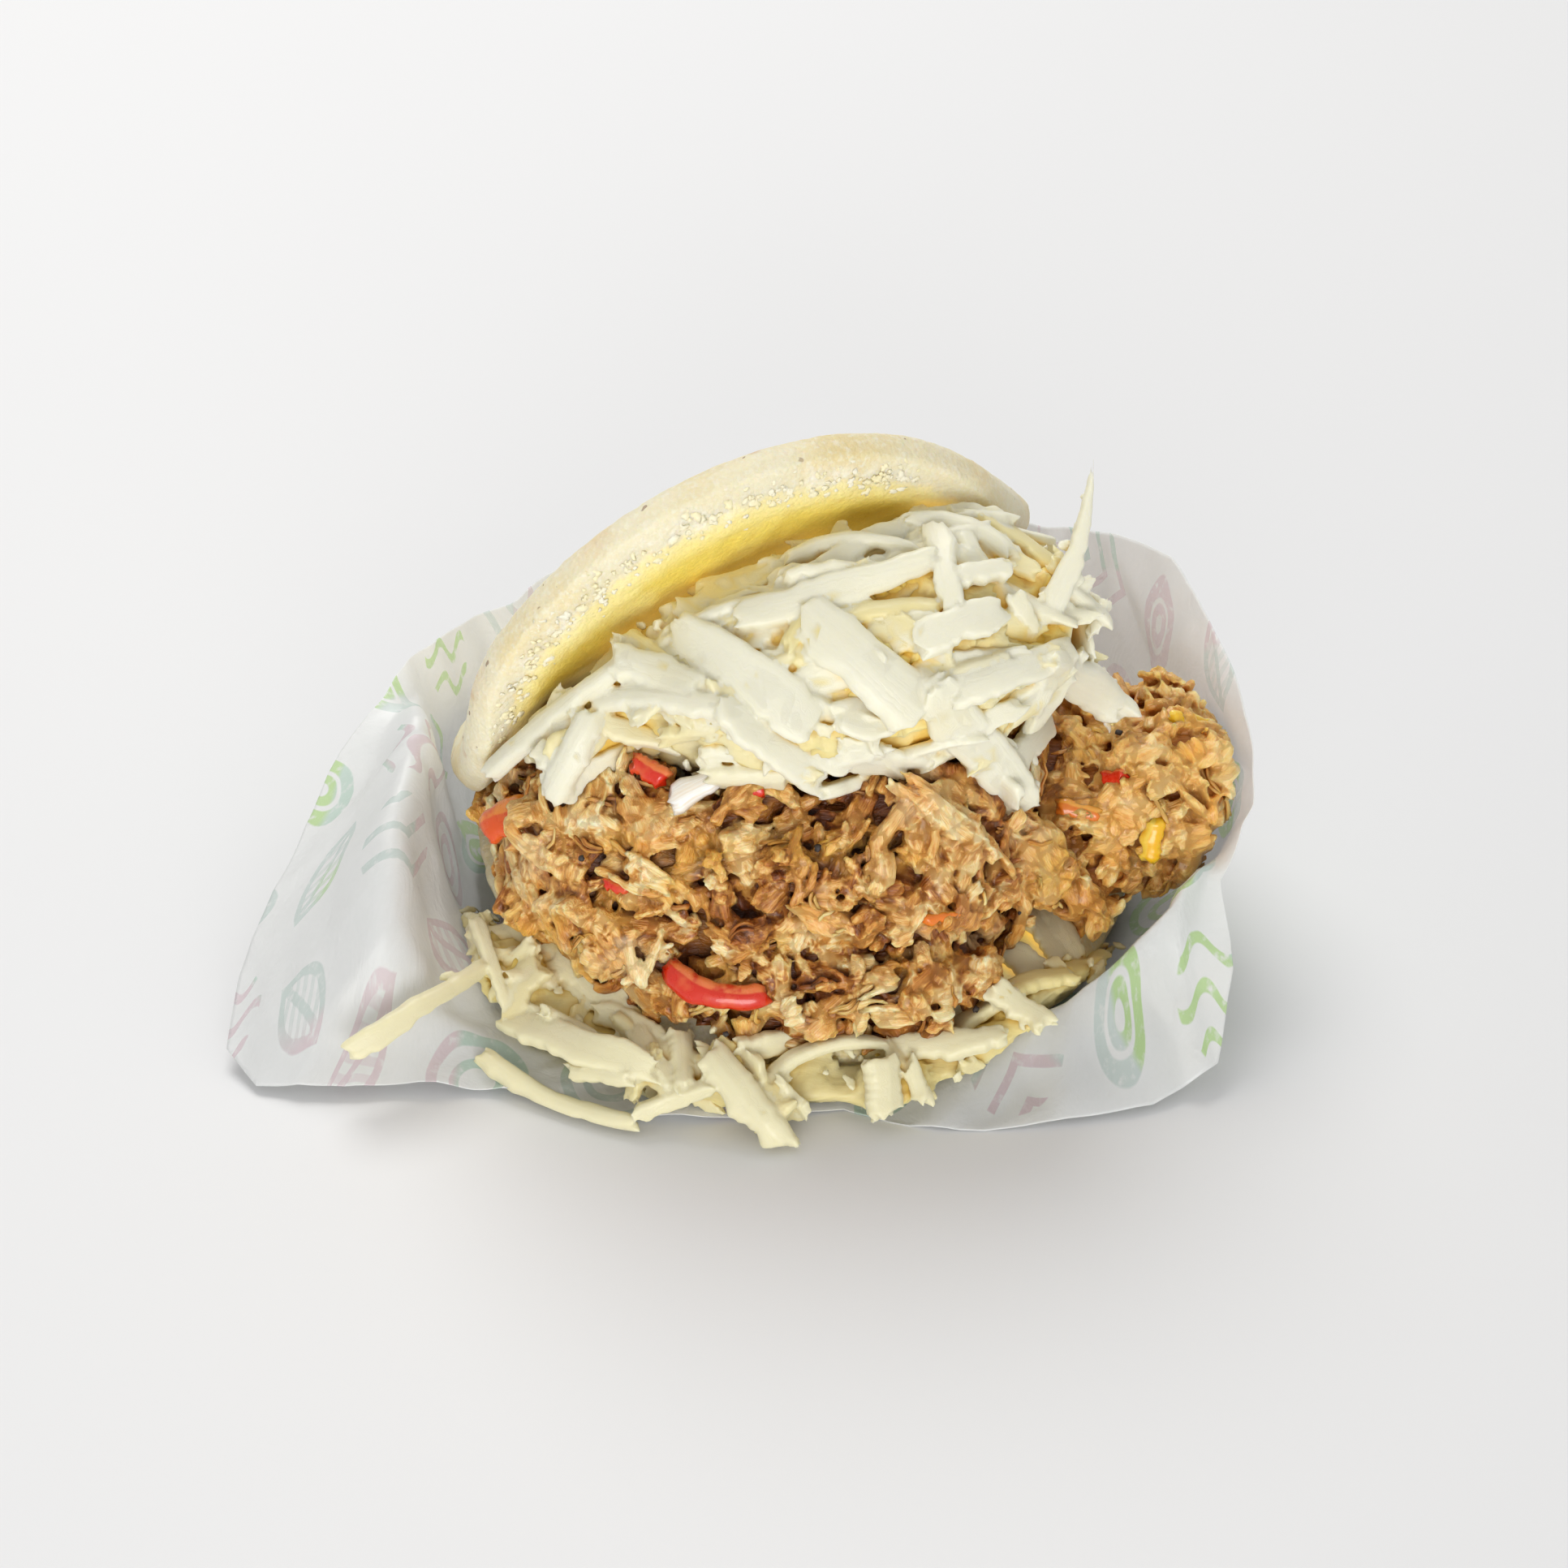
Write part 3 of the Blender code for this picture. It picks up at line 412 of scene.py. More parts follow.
def bread_finish():
    """Pale griddled corn dough: cream crust, golden cut side, white torn crumbs and specks, with
    painted warm bounce light where it is shut in and a painted golden glow on the cut side.
    """
    # its emission is a painted glow on the cut side
    finish = Finish("griddled_corn_bread", roughness=0.6, subsurface_weight=0.5,
                    subsurface_radius=(1.0, 0.8, 0.4), subsurface_scale=0.0035,
                    emission_strength=0.5)
    where = finish.place()
    cut, depth, outer = finish.parts(finish.attribute("section"))
    broad = finish.noise(where, 45.0, 3.0)
    fine = finish.noise(where, 900.0, 3.0, 0.6)
    grains = finish.cells(where, 1100.0)
    crust = finish.mix(broad.between(0.35, 0.7), rgb(233, 225, 194), rgb(228, 211, 160))
    crust = finish.mix(fine.between(0.45, 0.7) * 0.6, crust, rgb(238, 234, 214))
    golden = finish.mix(depth.between(2.0, 14.0), rgb(253, 238, 182), rgb(254, 226, 108))
    golden = finish.mix(broad.between(0.45, 0.65) * 0.4, golden, rgb(253, 240, 180))
    opened = finish.parts(finish.attribute("open"))[0]
    # painted bounce light: where the bread is shut in by the food, its crust and cut side turn a
    # deeper, warmer yellow
    shut = 1 - opened.between(0.15, 0.75)
    golden = finish.mix(shut * 0.8, golden, rgb(255, 214, 84))
    crust = finish.mix(shut * 0.8, crust, rgb(250, 222, 134))
    edge = cut + (finish.noise(where, 260.0, 4.0, 0.7) - 0.5) * 0.7
    colour = finish.mix(edge.between(0.4, 0.75), crust, golden)
    torn = finish.noise(where, 90.0, 5.0, 0.7)
    rim = cut.between(0.1, 0.4) * (1 - cut.between(0.6, 0.95))
    patch = torn.between(0.48, 0.62) * rim
    colour = finish.mix(patch * 0.6, colour, rgb(252, 249, 236))
    griddled = finish.noise(where, 38.0, 4.0, 0.6).between(0.52, 0.72)
    colour = finish.mix(griddled * outer * 0.55, colour, rgb(228, 184, 112))
    toasted = finish.noise(where, 120.0, 2.0).between(0.66, 0.74) * outer
    colour = finish.mix(toasted * 0.5, colour, rgb(196, 134, 66))
    specks = finish.noise(where, 420.0, 1.0).between(0.745, 0.775)
    colour = finish.mix(specks * outer, colour, rgb(120, 70, 30))
    finish.feed("Base Color", colour)
    # painted glow: the cut side glows golden where it is shut in, more towards the right
    right = finish.parts(where)[0].between(-0.01, 0.04)
    painted_glow = cut * (1 - opened.between(0.2, 1.0)) * (right * 0.35 + 0.65)
    finish.feed("Emission Color", finish.mix(painted_glow, rgb(0, 0, 0), golden))
    finish.feed("Roughness", fine * 0.3 + 0.45)
    height = fine * 0.6 - grains * 0.45 + torn * cut * 1.2 + broad * 0.3
    finish.bump(height, 0.7, 0.5)
    return finish.material


def crumb_finish():
    """Soft white crumbs torn from the bread's cut side."""
    finish = Finish("corn_bread_crumbs", roughness=0.7)
    where = finish.place()
    finish.feed("Base Color", finish.mix(finish.noise(where, 150.0, 2.0).between(0.35, 0.65),
                                         rgb(244, 234, 190), rgb(242, 237, 216)))
    finish.bump(finish.noise(where, 1500.0, 2.0), 0.5, 0.3)
    return finish.material


def meat_finish():
    """Moist pulled pork: tan fibres, pale ends and sauce in places, with painted shade, dark
    brown, in the hollows and where it is shut in.
    """
    finish = Finish("pulled_pork", roughness=0.4, subsurface_weight=0.6,
                    subsurface_radius=(1.0, 0.6, 0.3), subsurface_scale=0.0025,
                    coat_roughness=0.2)
    where = finish.place()
    tone, sauce, height = finish.parts(finish.attribute("piece"))
    grain = finish.attribute("grain")
    fibres = finish.noise(finish.scaled(grain, (0.16, 1.5, 1.3)), 1.0, 3.0, 0.6)
    threads = finish.noise(finish.scaled(grain, (0.25, 2.6, 2.2)), 1.0, 2.0, 0.6)
    blotch = finish.noise(where, 170.0, 3.0, 0.6)
    relief, _, _ = finish.parts(finish.attribute("relief"))
    opened = finish.parts(finish.attribute("open"))[0]
    # the level of the colour ramp: tone and grain, plus painted shade from the relief and the
    # openness, darker where sunken or shut in
    tone_and_painted_shade = (tone * 0.6 + fibres * 0.55 + threads * 0.4 + blotch * 0.35 + relief * 0.2
             + opened * 0.4 - 0.83)
    colour = finish.ramp(tone_and_painted_shade, (0.0, rgb(96, 42, 4)), (0.25, rgb(160, 92, 26)),
                         (0.5, rgb(212, 152, 72)), (0.72, rgb(240, 203, 134)),
                         (1.0, rgb(253, 239, 198)))
    pale = finish.noise(where, 95.0, 2.0).between(0.58, 0.7)
    colour = finish.mix(pale * 0.5, colour, rgb(240, 210, 156))
    yellow = finish.noise(where, 70.0, 3.0).between(0.52, 0.66)
    colour = finish.mix(yellow * 0.5, colour, rgb(246, 192, 88))
    saucy = sauce * finish.noise(where, 90.0, 3.0).between(0.42, 0.66)
    colour = finish.mix(saucy * 0.8, colour, rgb(238, 160, 52))
    colour = finish.mix(finish.noise(where, 210.0, 2.0).between(0.64, 0.76) * 0.3, colour,
                        rgb(196, 116, 56))
    # painted shade: dark brown, orange on the right lobe, where the meat is shut in, lies low
    # under its solid or sinks in its relief
    deep = 1 - (opened + height * 0.03 + relief * 0.1).between(0.15, 0.8)
    lobe = finish.parts(where)[0].between(0.04, 0.058)
    colour = finish.mix(lobe * 0.35, colour, rgb(250, 202, 112))
    shade = finish.mix(lobe, rgb(92, 42, 4), rgb(184, 100, 14))
    colour = finish.mix(deep * 0.9, colour, shade)
    finish.feed("Base Color", colour)
    finish.feed("Roughness", 0.55 - fibres * 0.25)
    wet = finish.noise(where, 240.0, 2.0).between(0.42, 0.62) * opened
    finish.feed("Coat Weight", wet * 0.5)
    finish.bump(fibres + threads * 0.5 + finish.noise(where, 1100.0, 3.0) * 0.2, 0.7, 0.8)
    return finish.material


def cheese_finish(name, bright, warm, hollow, stain):
    """Soft white cheese, cut in shreds: pale, slightly translucent, with painted warm yellow shade
    in its hollows.
    """
    finish = Finish(name, roughness=0.42, subsurface_weight=0.5,
                    subsurface_radius=(1.0, 0.92, 0.6), subsurface_scale=0.0018)
    where = finish.place()
    tone, sauce, height = finish.parts(finish.attribute("piece"))
    grain = finish.attribute("grain")
    lines = finish.noise(finish.scaled(grain, (0.12, 1.3, 1.0)), 1.0, 3.0, 0.5)
    broad = finish.noise(where, 60.0, 2.0)
    fine = finish.noise(where, 800.0, 3.0, 0.6)
    colour = finish.mix((tone * 0.7 + broad * 0.6).between(0.2, 0.9), warm, bright)
    opened = finish.parts(finish.attribute("open"))[0]
    # painted shade: the cheese turns the warm yellow hollow colour where it is shut in and where
    # it lies low
    sunk = 1 - (opened + broad * 0.4 + height * 0.04).between(0.3, 0.98)
    colour = finish.mix(sunk * 0.95, colour, hollow)
    colour = finish.mix(sauce * finish.noise(where, 100.0, 3.0).between(0.4, 0.62), colour, stain)
    finish.feed("Base Color", colour)
    finish.feed("Roughness", fine * 0.25 + 0.3)
    finish.bump(lines * 0.6 + fine * 0.35 + broad * 1.5, 0.4, 0.5)
    return finish.material


def pepper_finish(name, skin, flesh):
    """A cut piece of pepper: glossy skin with paler flesh along one edge."""
    finish = Finish(name, roughness=0.2, subsurface_weight=0.3, coat_weight=0.4,
                    subsurface_radius=(1.0, 0.3, 0.1), subsurface_scale=0.0015)
    where = finish.place()
    grain = finish.attribute("grain")
    _, around, _ = finish.parts(grain)
    mottled = finish.noise(where, 300.0, 3.0)
    edge = around.between(0.55, 1.0) * mottled.between(0.3, 0.5)
    colour = finish.mix(edge * 0.8, skin, flesh)
    finish.feed("Base Color", finish.mix(mottled.between(0.5, 0.75) * 0.35, colour, flesh))
    finish.feed("Roughness", mottled * 0.3 + 0.12)
    finish.bump(mottled, 0.25, 0.4)
    return finish.material


def onion_finish():
    finish = Finish("onion", roughness=0.22, subsurface_weight=0.6, coat_weight=0.3,
                    subsurface_radius=(1.0, 0.9, 0.8), subsurface_scale=0.003)
    grain = finish.attribute("grain")
    veins = finish.noise(finish.scaled(grain, (0.08, 2.0, 1.0)), 1.0, 2.0)
    finish.feed("Base Color", finish.mix(veins.between(0.35, 0.65), rgb(238, 226, 208),
                                         rgb(250, 246, 238)))
    finish.feed("Roughness", veins * 0.2 + 0.15)
    finish.bump(veins, 0.3, 0.3)
    return finish.material


def peppercorn_finish():
    finish = Finish("black_pepper", roughness=0.6)
    grit = finish.noise(finish.place(), 2500.0, 3.0)
    finish.feed("Base Color", finish.mix(grit, rgb(30, 26, 26), rgb(72, 62, 56)))
    finish.bump(grit, 0.6, 0.2)
    return finish.material


def paper_finish():
    """Thin greaseproof paper with a pale made-up print of rings, leaves, waves and bars."""
    finish = Finish("printed_greaseproof", roughness=0.42, subsurface_weight=0.7,
                    subsurface_radius=(1.0, 1.0, 1.0), subsurface_scale=0.002)
    sheet = finish.attribute("sheet")
    across, along, _ = finish.parts(sheet)

    def snapped(value):
        return value.math("FLOOR")

    row = snapped(along / PRINT_CELL)
    shifted = across / PRINT_CELL + row * 0.37
    column = snapped(shifted)

    def random_share(seed):
        return finish.node("ShaderNodeTexWhiteNoise", {"noise_dimensions": "3D"},
                           {"Vector": finish.join(column, row, seed)}, "Value")

    chance = random_share(3.0)
    spin = random_share(8.0) * math.tau
    x = (shifted - column - 0.5) * PRINT_CELL
    y = (along / PRINT_CELL - row - 0.5) * PRINT_CELL
    wander = finish.noise(sheet, 0.09, 1.0) * 3.0 - 1.5
    x, y = (x * spin.math("COSINE") - y * spin.math("SINE") + wander,
            x * spin.math("SINE") + y * spin.math("COSINE"))

    def line(distance, width):
        return 1 - abs(distance).between(width * 0.5, width * 0.5 + 0.35)

    def picked(low, high):
        return chance.math("GREATER_THAN", low) * chance.math("LESS_THAN", high)

    radius = (x * x + y * y).math("SQRT")
    inside = 1 - radius.between(9.8, 10.2)
    ring = (line(radius - 8.5, 1.8) + line(radius - 4.2, 1.4)).math("MINIMUM", 1.0)
    leaf_side = abs(y) + x * x * 0.055
    leaf = line(leaf_side - 4.8, 1.4) + line(y, 1.0) * (1 - leaf_side.between(4.6, 4.9))
    hatching = line((x * 0.9 + y * 0.9).math("PINGPONG", 1.5), 1.2) * (
        1 - leaf_side.between(4.6, 4.8)) * 0.6
    wave = line((y + (x * 0.55).math("SINE") * 2.0).math("PINGPONG", 3.4), 1.7) * inside
    chevron = line((y + abs(x) * 0.8).math("PINGPONG", 4.0), 2.0) * inside
    oval = (x * x * 0.4 + y * y).math("SQRT")
    ovals = line(oval - 5.2, 2.2) + line(oval - 2.2, 1.4)
    print_mask = (ring * picked(0.0, 0.2) + (leaf + hatching) * picked(0.2, 0.45)
                  + wave * picked(0.45, 0.6) + chevron * picked(0.6, 0.78)
                  + ovals * picked(0.78, 1.1)).math("MINIMUM", 1.0)
    region = finish.noise(sheet, 0.018, 0.0)
    ink = finish.mix(chance.math("PINGPONG", 0.13).between(0.06, 0.07), rgb(172, 204, 184),
                     rgb(190, 208, 200))
    ink = finish.mix(region.between(0.56, 0.58), ink, rgb(160, 206, 110))
    ink = finish.mix(1 - region.between(0.42, 0.44), ink, rgb(214, 186, 192))
    fibre = finish.noise(sheet, 0.8, 4.0, 0.7)
    stock = finish.mix(fibre, rgb(239, 242, 238), rgb(246, 247, 244))
    wet = finish.noise(finish.place(), 30.0, 2.0).between(0.45, 0.7) * (
        1 - finish.parts(finish.place())[2].between(0.012, 0.045))
    stock = finish.mix(wet * 0.35, stock, rgb(226, 220, 196))
    faded = print_mask * finish.noise(sheet, 0.5, 3.0).between(0.15, 0.5)
    finish.feed("Base Color", finish.mix(faded * 0.9, stock, ink))
    finish.feed("Roughness", fibre * 0.25 + 0.3)
    finish.bump(fibre * 0.3 + finish.noise(sheet, 0.12, 3.0, 0.6, 1.0) * 2.0, 0.4, 0.5)
    return finish.material


def table_finish():
    finish = Finish("pale_table", roughness=0.55)
    cloud = finish.noise(finish.place(), 3.0, 2.0)
    finish.feed("Base Color", finish.mix(cloud, rgb(229, 229, 230), rgb(232, 232, 232)))
    return finish.material


class Batch:
    """Many pieces of one kind, joined into one mesh."""

    def __init__(self, name):
        self.name = name
        self.points = []
        self.faces = []
        self.tones = []
        self.grain = []
        self.count = 0

    def add(self, points, faces, grain, tone, sauce=0.0):
        self.points.append(points)
        self.faces += [tuple(self.count + i for i in face) for face in faces]
        self.tones.append(np.tile((tone, sauce), (len(points), 1)))
        stamped = np.array(grain, float)
        stamped[:, 2] += (self.count * 0.37) % 97
        self.grain.append(stamped)
        self.count += len(points)

    def build(self, finish, slot, *nodes, skin=None):
        """The piece, with its tones, its height over the skin and its grain on every point."""
        points = np.concatenate(self.points)
        tones = np.concatenate(self.tones)
        heights = [over(skin, point) if skin else 0.0 for point in points]
        obj = new_piece(self.name, points, self.faces, finish, slot, *nodes)
        stamp(obj, "piece", np.column_stack([tones, heights]))
        stamp(obj, "grain", np.concatenate(self.grain))
        return obj


def over(skin, point):
    """How far a point stands over a solid's surface, or less than 0 inside it."""
    near, normal, _, _ = skin.find_nearest(Vector(point))
    return (Vector(point) - near).dot(normal)


def apply_steps(obj):
    """Turns an object's modifiers into its mesh."""
    bpy.context.view_layer.update()
    graph = bpy.context.evaluated_depsgraph_get()
    shape = bpy.data.meshes.new_from_object(obj.evaluated_get(graph))
    obj.modifiers.clear()
    obj.data = shape


def stamp(obj, name, values):
    """Stores three values on each point, or one and two zeros."""
    values = np.asarray(values, np.float32)
    if values.ndim == 1:
        values = np.column_stack([values, values * 0, values * 0])
    layer = obj.data.attributes.new(name, "FLOAT_VECTOR", "POINT")
    layer.data.foreach_set("vector", values.ravel())


def linked(name, data):
    """A new object in the scene."""
    obj = bpy.data.objects.new(name, data)
    bpy.context.scene.collection.objects.link(obj)
    return obj


def new_mesh(name, points, faces):
    """A mesh from points in metres."""
    mesh = bpy.data.meshes.new(name)
    mesh.from_pydata(np.asarray(points).tolist(), [], faces)
    return mesh


def new_piece(name, points, faces, finish, slot, *nodes):
    """A shown piece from points in millimetres, which rides on the part."""
    mesh = new_mesh(name, np.asarray(points) * MM, faces)
    mesh.polygons.foreach_set("use_smooth", [True] * len(mesh.polygons))
    mesh.materials.append(finish)
    mesh.update()
    obj = linked(name, mesh)
    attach(obj, "root")
    if nodes:
        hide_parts(*nodes)
    return obj


def tree_of(meshes):
    """A search tree, in millimetres, of the surfaces of some meshes."""
    corners, faces = [], []
    for mesh in meshes:
        start = len(corners)
        corners += [vertex.co / MM for vertex in mesh.vertices]
        faces += [[start + i for i in face.vertices] for face in mesh.polygons]
    return BVHTree.FromPolygons(corners, faces)


def search_tree(*names):
    """A search tree of some solids."""
    return tree_of(frame["nodes"][name].data for name in names)


def spots(name, count, spacing, draw, covers, clearance, lowest=-0.7):
    """Random places on a solid, spaced out and not shut in by what covers it."""
    mesh = frame["nodes"][name].data
    faces = list(mesh.polygons)
    areas = [face.area for face in faces]
    found = []
    for _ in range(count * 14):
        if len(found) == count:
            break
        face = draw.choices(faces, areas)[0]
        corners = [mesh.vertices[i].co / MM for i in face.vertices[:3]]
        a, b = draw.random(), draw.random()
        if a + b > 1:
            a, b = 1 - a, 1 - b
        point = corners[0] + (corners[1] - corners[0]) * a + (corners[2] - corners[0]) * b
        normal = face.normal.copy()
        if normal.z < lowest:
            continue
        if any((point - other).length_squared < spacing ** 2 for other, _ in found):
            continue
        if covers.ray_cast(point + normal * 0.2, normal, clearance)[0]:
            continue
        found.append((point, normal))
    return found


def tangent(draw, normal, flow=None):
    """A direction along a surface, random or near a given flow."""
    way = Vector([draw.uniform(-1, 1) for _ in range(3)])
    if flow:
        way = way * 0.8 + flow
    return (way - normal * way.dot(normal)).normalized()


def draped(tree, point, normal, way, length, lift, rings, stiff=0.5, arch=0.0):
    """A line along a surface near a point: a stiff curve through what it lies on."""
    shares = np.linspace(-0.5, 0.5, 6)
    found = []
    for share in shares:
        spot = point + way * length * share
        near, outward, _, _ = tree.find_nearest(spot)
        found.append(list(near.lerp(spot, stiff) + outward.lerp(normal, stiff) * lift))
    found = np.array(found)
    fits = [np.polyfit(shares, found[:, i], 2) for i in range(3)]
    fine = np.linspace(-0.5, 0.5, rings)
    line = np.column_stack([np.polyval(fit, fine) for fit in fits])
    return line + np.outer(arch * length * (0.25 - fine ** 2), np.array(normal))


def view_ray(across, up):
    """The direction from the eye to a place across and up from the photograph's middle."""
    return (VIEW_AHEAD * VIEW_DISTANCE + VIEW_RIGHT * across + VIEW_UP * up).normalized()


def laid(tree, across, up, turn, length, bend, lift, rings):
    """A line laid on the solids as seen from the front, and its outward side."""
    turn = math.radians(turn)
    found, side = [], Vector()
    shares = np.linspace(-0.5, 0.5, 9)

    def ray_at(share):
        x, y = share * length, bend * (1 - 4 * share * share)
        return view_ray(across + x * math.cos(turn) - y * math.sin(turn),
                        up + x * math.sin(turn) + y * math.cos(turn))

    for share in shares:
        hit, normal, _, distance = tree.ray_cast(VIEW_EYE, ray_at(share))
        if hit:
            found.append((share, distance))
            side += normal if normal.dot(VIEW_AHEAD) < 0 else -normal
    if not found:
        return None, None
    degree = 2 if len(found) >= 8 and length > 12 else 1 if len(found) > 3 else 0
    fit = np.polyfit([share for share, _ in found], [far for _, far in found], degree)
    if degree == 1:
        fit[0] = min(max(fit[0], -0.8 * length), 0.8 * length)
    facing = (side.normalized() - VIEW_AHEAD * 0.8).normalized()
    line = [VIEW_EYE + ray_at(share) * (float(np.polyval(fit, share)) - lift)
            for share in np.linspace(-0.5, 0.5, rings)]
    return np.array([list(point) for point in line]), facing


def wobble(draw, count, knots):
    """Smooth random values along a line, mostly between -1 and 1."""
    heights = [draw.gauss(0, 0.6) for _ in range(knots + 1)]
    return np.interp(np.linspace(0, knots, count), range(knots + 1), heights)


@functools.cache
def bar_faces(rings, sides):
    """Faces of a closed bar whose end points come last."""
    faces = [(i * sides + j, i * sides + (j + 1) % sides,
              (i + 1) * sides + (j + 1) % sides, (i + 1) * sides + j)
             for i in range(rings - 1) for j in range(sides)]
    first, last = rings * sides, rings * sides + 1
    faces += [(first, (j + 1) % sides, j) for j in range(sides)]
    start = (rings - 1) * sides
    faces += [(last, start + j, start + (j + 1) % sides) for j in range(sides)]
    return faces


def ribbon(line, facing, width, thickness, draw, pointed=0.0, sides=10, ragged=0.3, cup=0.0,
           twist=0.0, end_wear=0.6, square=0.0):
    """A shred along a line: a rounded or square bar with ragged edges and torn ends."""
    rings = len(line)
    u = np.linspace(0, 1, rings)
    ahead = np.gradient(line, axis=0)
    ahead /= np.linalg.norm(ahead, axis=1)[:, None] + 1e-9
    side = np.cross(np.array(facing), ahead)
    side /= np.linalg.norm(side, axis=1)[:, None] + 1e-9
    rise = np.cross(ahead, side)
    turn = twist * (u - 0.5) + 0.12 * wobble(draw, rings, 3)
    side, rise = (side * np.cos(turn)[:, None] + rise * np.sin(turn)[:, None],
                  rise * np.cos(turn)[:, None] - side * np.sin(turn)[:, None])
    blunt = np.minimum(1, 0.45 + 0.4 * square + draw.uniform(4, 9) * np.minimum(u, 1 - u)) ** 0.8
    narrow = (1 - pointed * np.clip((u - 0.1) / 0.9, 0, 1) ** 1.3) * blunt
    half = width / 2 * narrow
    knots = max(rings // 2, 2)
    left = half * (1 + 0.25 * wobble(draw, rings, 4)) + ragged * wobble(draw, rings, knots)
    right = half * (1 + 0.25 * wobble(draw, rings, 4)) + 0.6 * ragged * wobble(draw, rings, knots)
    deep = thickness / 2 * (0.5 + 0.5 * narrow) * (1 + 0.15 * wobble(draw, rings, 4))
    angles = math.tau * (np.arange(sides) + 0.5) / sides
    y0 = np.sign(np.cos(angles)) * np.abs(np.cos(angles)) ** (0.7 - 0.2 * square)
    z0 = np.sign(np.sin(angles)) * np.abs(np.sin(angles)) ** (0.8 - 0.3 * square)
    reach = np.where(y0[None, :] < 0, left[:, None], right[:, None])
    y = y0[None, :] * np.maximum(reach, 0.08)
    z = z0[None, :] * np.maximum(deep, 0.1)[:, None]
    z = z + cup * thickness * (1 - y0[None, :] ** 2) * narrow[:, None]
    points = line[:, None, :] + y[..., None] * side[:, None, :] + z[..., None] * rise[:, None, :]
    torn = np.array([draw.uniform(-1, 1) for _ in range(2 * sides)]).reshape(2, sides)
    torn *= end_wear * min(width, 4) * 0.3
    torn += square * np.outer([draw.uniform(-0.3, 0.3), draw.uniform(-0.3, 0.3)], y0 * width)
    for ring, share in enumerate((1.0, 0.7, 0.4, 0.15)):
        points[ring] += torn[0][:, None] * ahead[0] * share
        points[-1 - ring] += torn[1][:, None] * ahead[-1] * share
    ends = np.array([points[0].mean(0) - ahead[0] * 0.2, points[-1].mean(0) + ahead[-1] * 0.2])
    length = np.linalg.norm(np.diff(line, axis=0), axis=1).sum()
    grain = np.stack([np.broadcast_to((u * length)[:, None], y.shape),
                      np.broadcast_to(y0[None, :] * width / 2, y.shape), z], -1).reshape(-1, 3)
    grain = np.concatenate([grain, [[0, 0, 0], [length, 0, 0]]])
    return np.concatenate([points.reshape(-1, 3), ends]), bar_faces(rings, sides), grain


def points_and_faces(bm):
    points = [vertex.co.copy() for vertex in bm.verts]
    faces = [tuple(vertex.index for vertex in face.verts) for face in bm.faces]
    bm.free()
    return points, faces


@functools.cache
def ball(detail):
    bm = bmesh.new()
    bmesh.ops.create_icosphere(bm, subdivisions=detail, radius=1.0)
    return points_and_faces(bm)


def chunk(detail, middle, normal, way, sizes, draw, lumps=0.3, ridges=0.14, torn=0.3):
    """A torn lump with a fibrous surface along way."""
    corners, faces = ball(detail)
    across = normal.cross(way)
    shift = Vector([draw.uniform(0, 90) for _ in range(3)])
    points, grain = [], []
    for co in corners:
        bump = 1 + lumps * noise.noise(co * 1.5 + shift)
        fibre = noise.noise(Vector((co.x * 1.1, co.y * 5.5, co.z * 4.0)) + shift * 2)
        end = torn * abs(co.x) ** 3 * noise.noise(Vector((0.0, co.y * 6, co.z * 5)) + shift)
        size = bump + ridges * fibre
        x = co.x * sizes[0] * (bump + end * 1.6)
        y = co.y * sizes[1] * size
        z = co.z * sizes[2] * size
        points.append(list(middle + way * x + across * y + normal * z))
        grain.append((x, y, z))
    return np.array(points), faces, np.array(grain)


def crosses(points, faces, obstacles):
    """Whether a piece runs into any of the search trees."""
    tree = BVHTree.FromPolygons(points.tolist(), faces)
    return any(tree.overlap(obstacle) for obstacle in obstacles)


def solid_points(name):
    """A solid's points and faces, in millimetres, with its points merged."""
    bm = bmesh.new()
    bm.from_mesh(frame["nodes"][name].data)
    bmesh.ops.remove_doubles(bm, verts=bm.verts, dist=1e-6)
    points, faces = points_and_faces(bm)
    return np.array([list(co / MM) for co in points]), faces


def fused(points, faces, grid, rounds, limit=None):
    """One closed skin round everything in a set of closed shapes: points, normals, faces."""
    mesh = new_mesh("loose", points * MM, faces)
    obj = linked("loose", mesh)
    step = obj.modifiers.new("one_skin", "REMESH")
    step.mode = "VOXEL"
    step.voxel_size = grid * MM
    soft = obj.modifiers.new("soft", "SMOOTH")
    soft.iterations = rounds
    apply_steps(obj)
    if limit and 2 * len(obj.data.polygons) > limit:
        fewer = obj.modifiers.new("fewer", "DECIMATE")
        fewer.ratio = limit / (2 * len(obj.data.polygons))
        apply_steps(obj)
    shape = obj.data
    made = np.array([list(vertex.co / MM) for vertex in shape.vertices])
    normals = np.array([list(vertex.normal) for vertex in shape.vertices])
    sides = [tuple(face.vertices) for face in shape.polygons]
    bpy.data.objects.remove(obj, do_unlink=True)
    bpy.data.meshes.remove(shape)
    bpy.data.meshes.remove(mesh)
    return made, normals, sides


def one_skin(batch, grid, rounds, limit):
    """A batch's pieces in one skin, with the tones and the grain of the nearest piece."""
    places = KDTree(batch.count)
    points = np.concatenate(batch.points)
    for i, point in enumerate(points):
        places.insert(point, i)
    places.balance()
    shape, normals, faces = fused(points, batch.faces, grid, rounds, limit)
    near = [places.find(point)[1] for point in shape]
    whole = Batch(batch.name)
    whole.add(shape, faces, shape, 0.0)
    whole.tones = [np.concatenate(batch.tones)[near]]
    whole.grain = [np.concatenate(batch.grain)[near]]
    return whole, normals


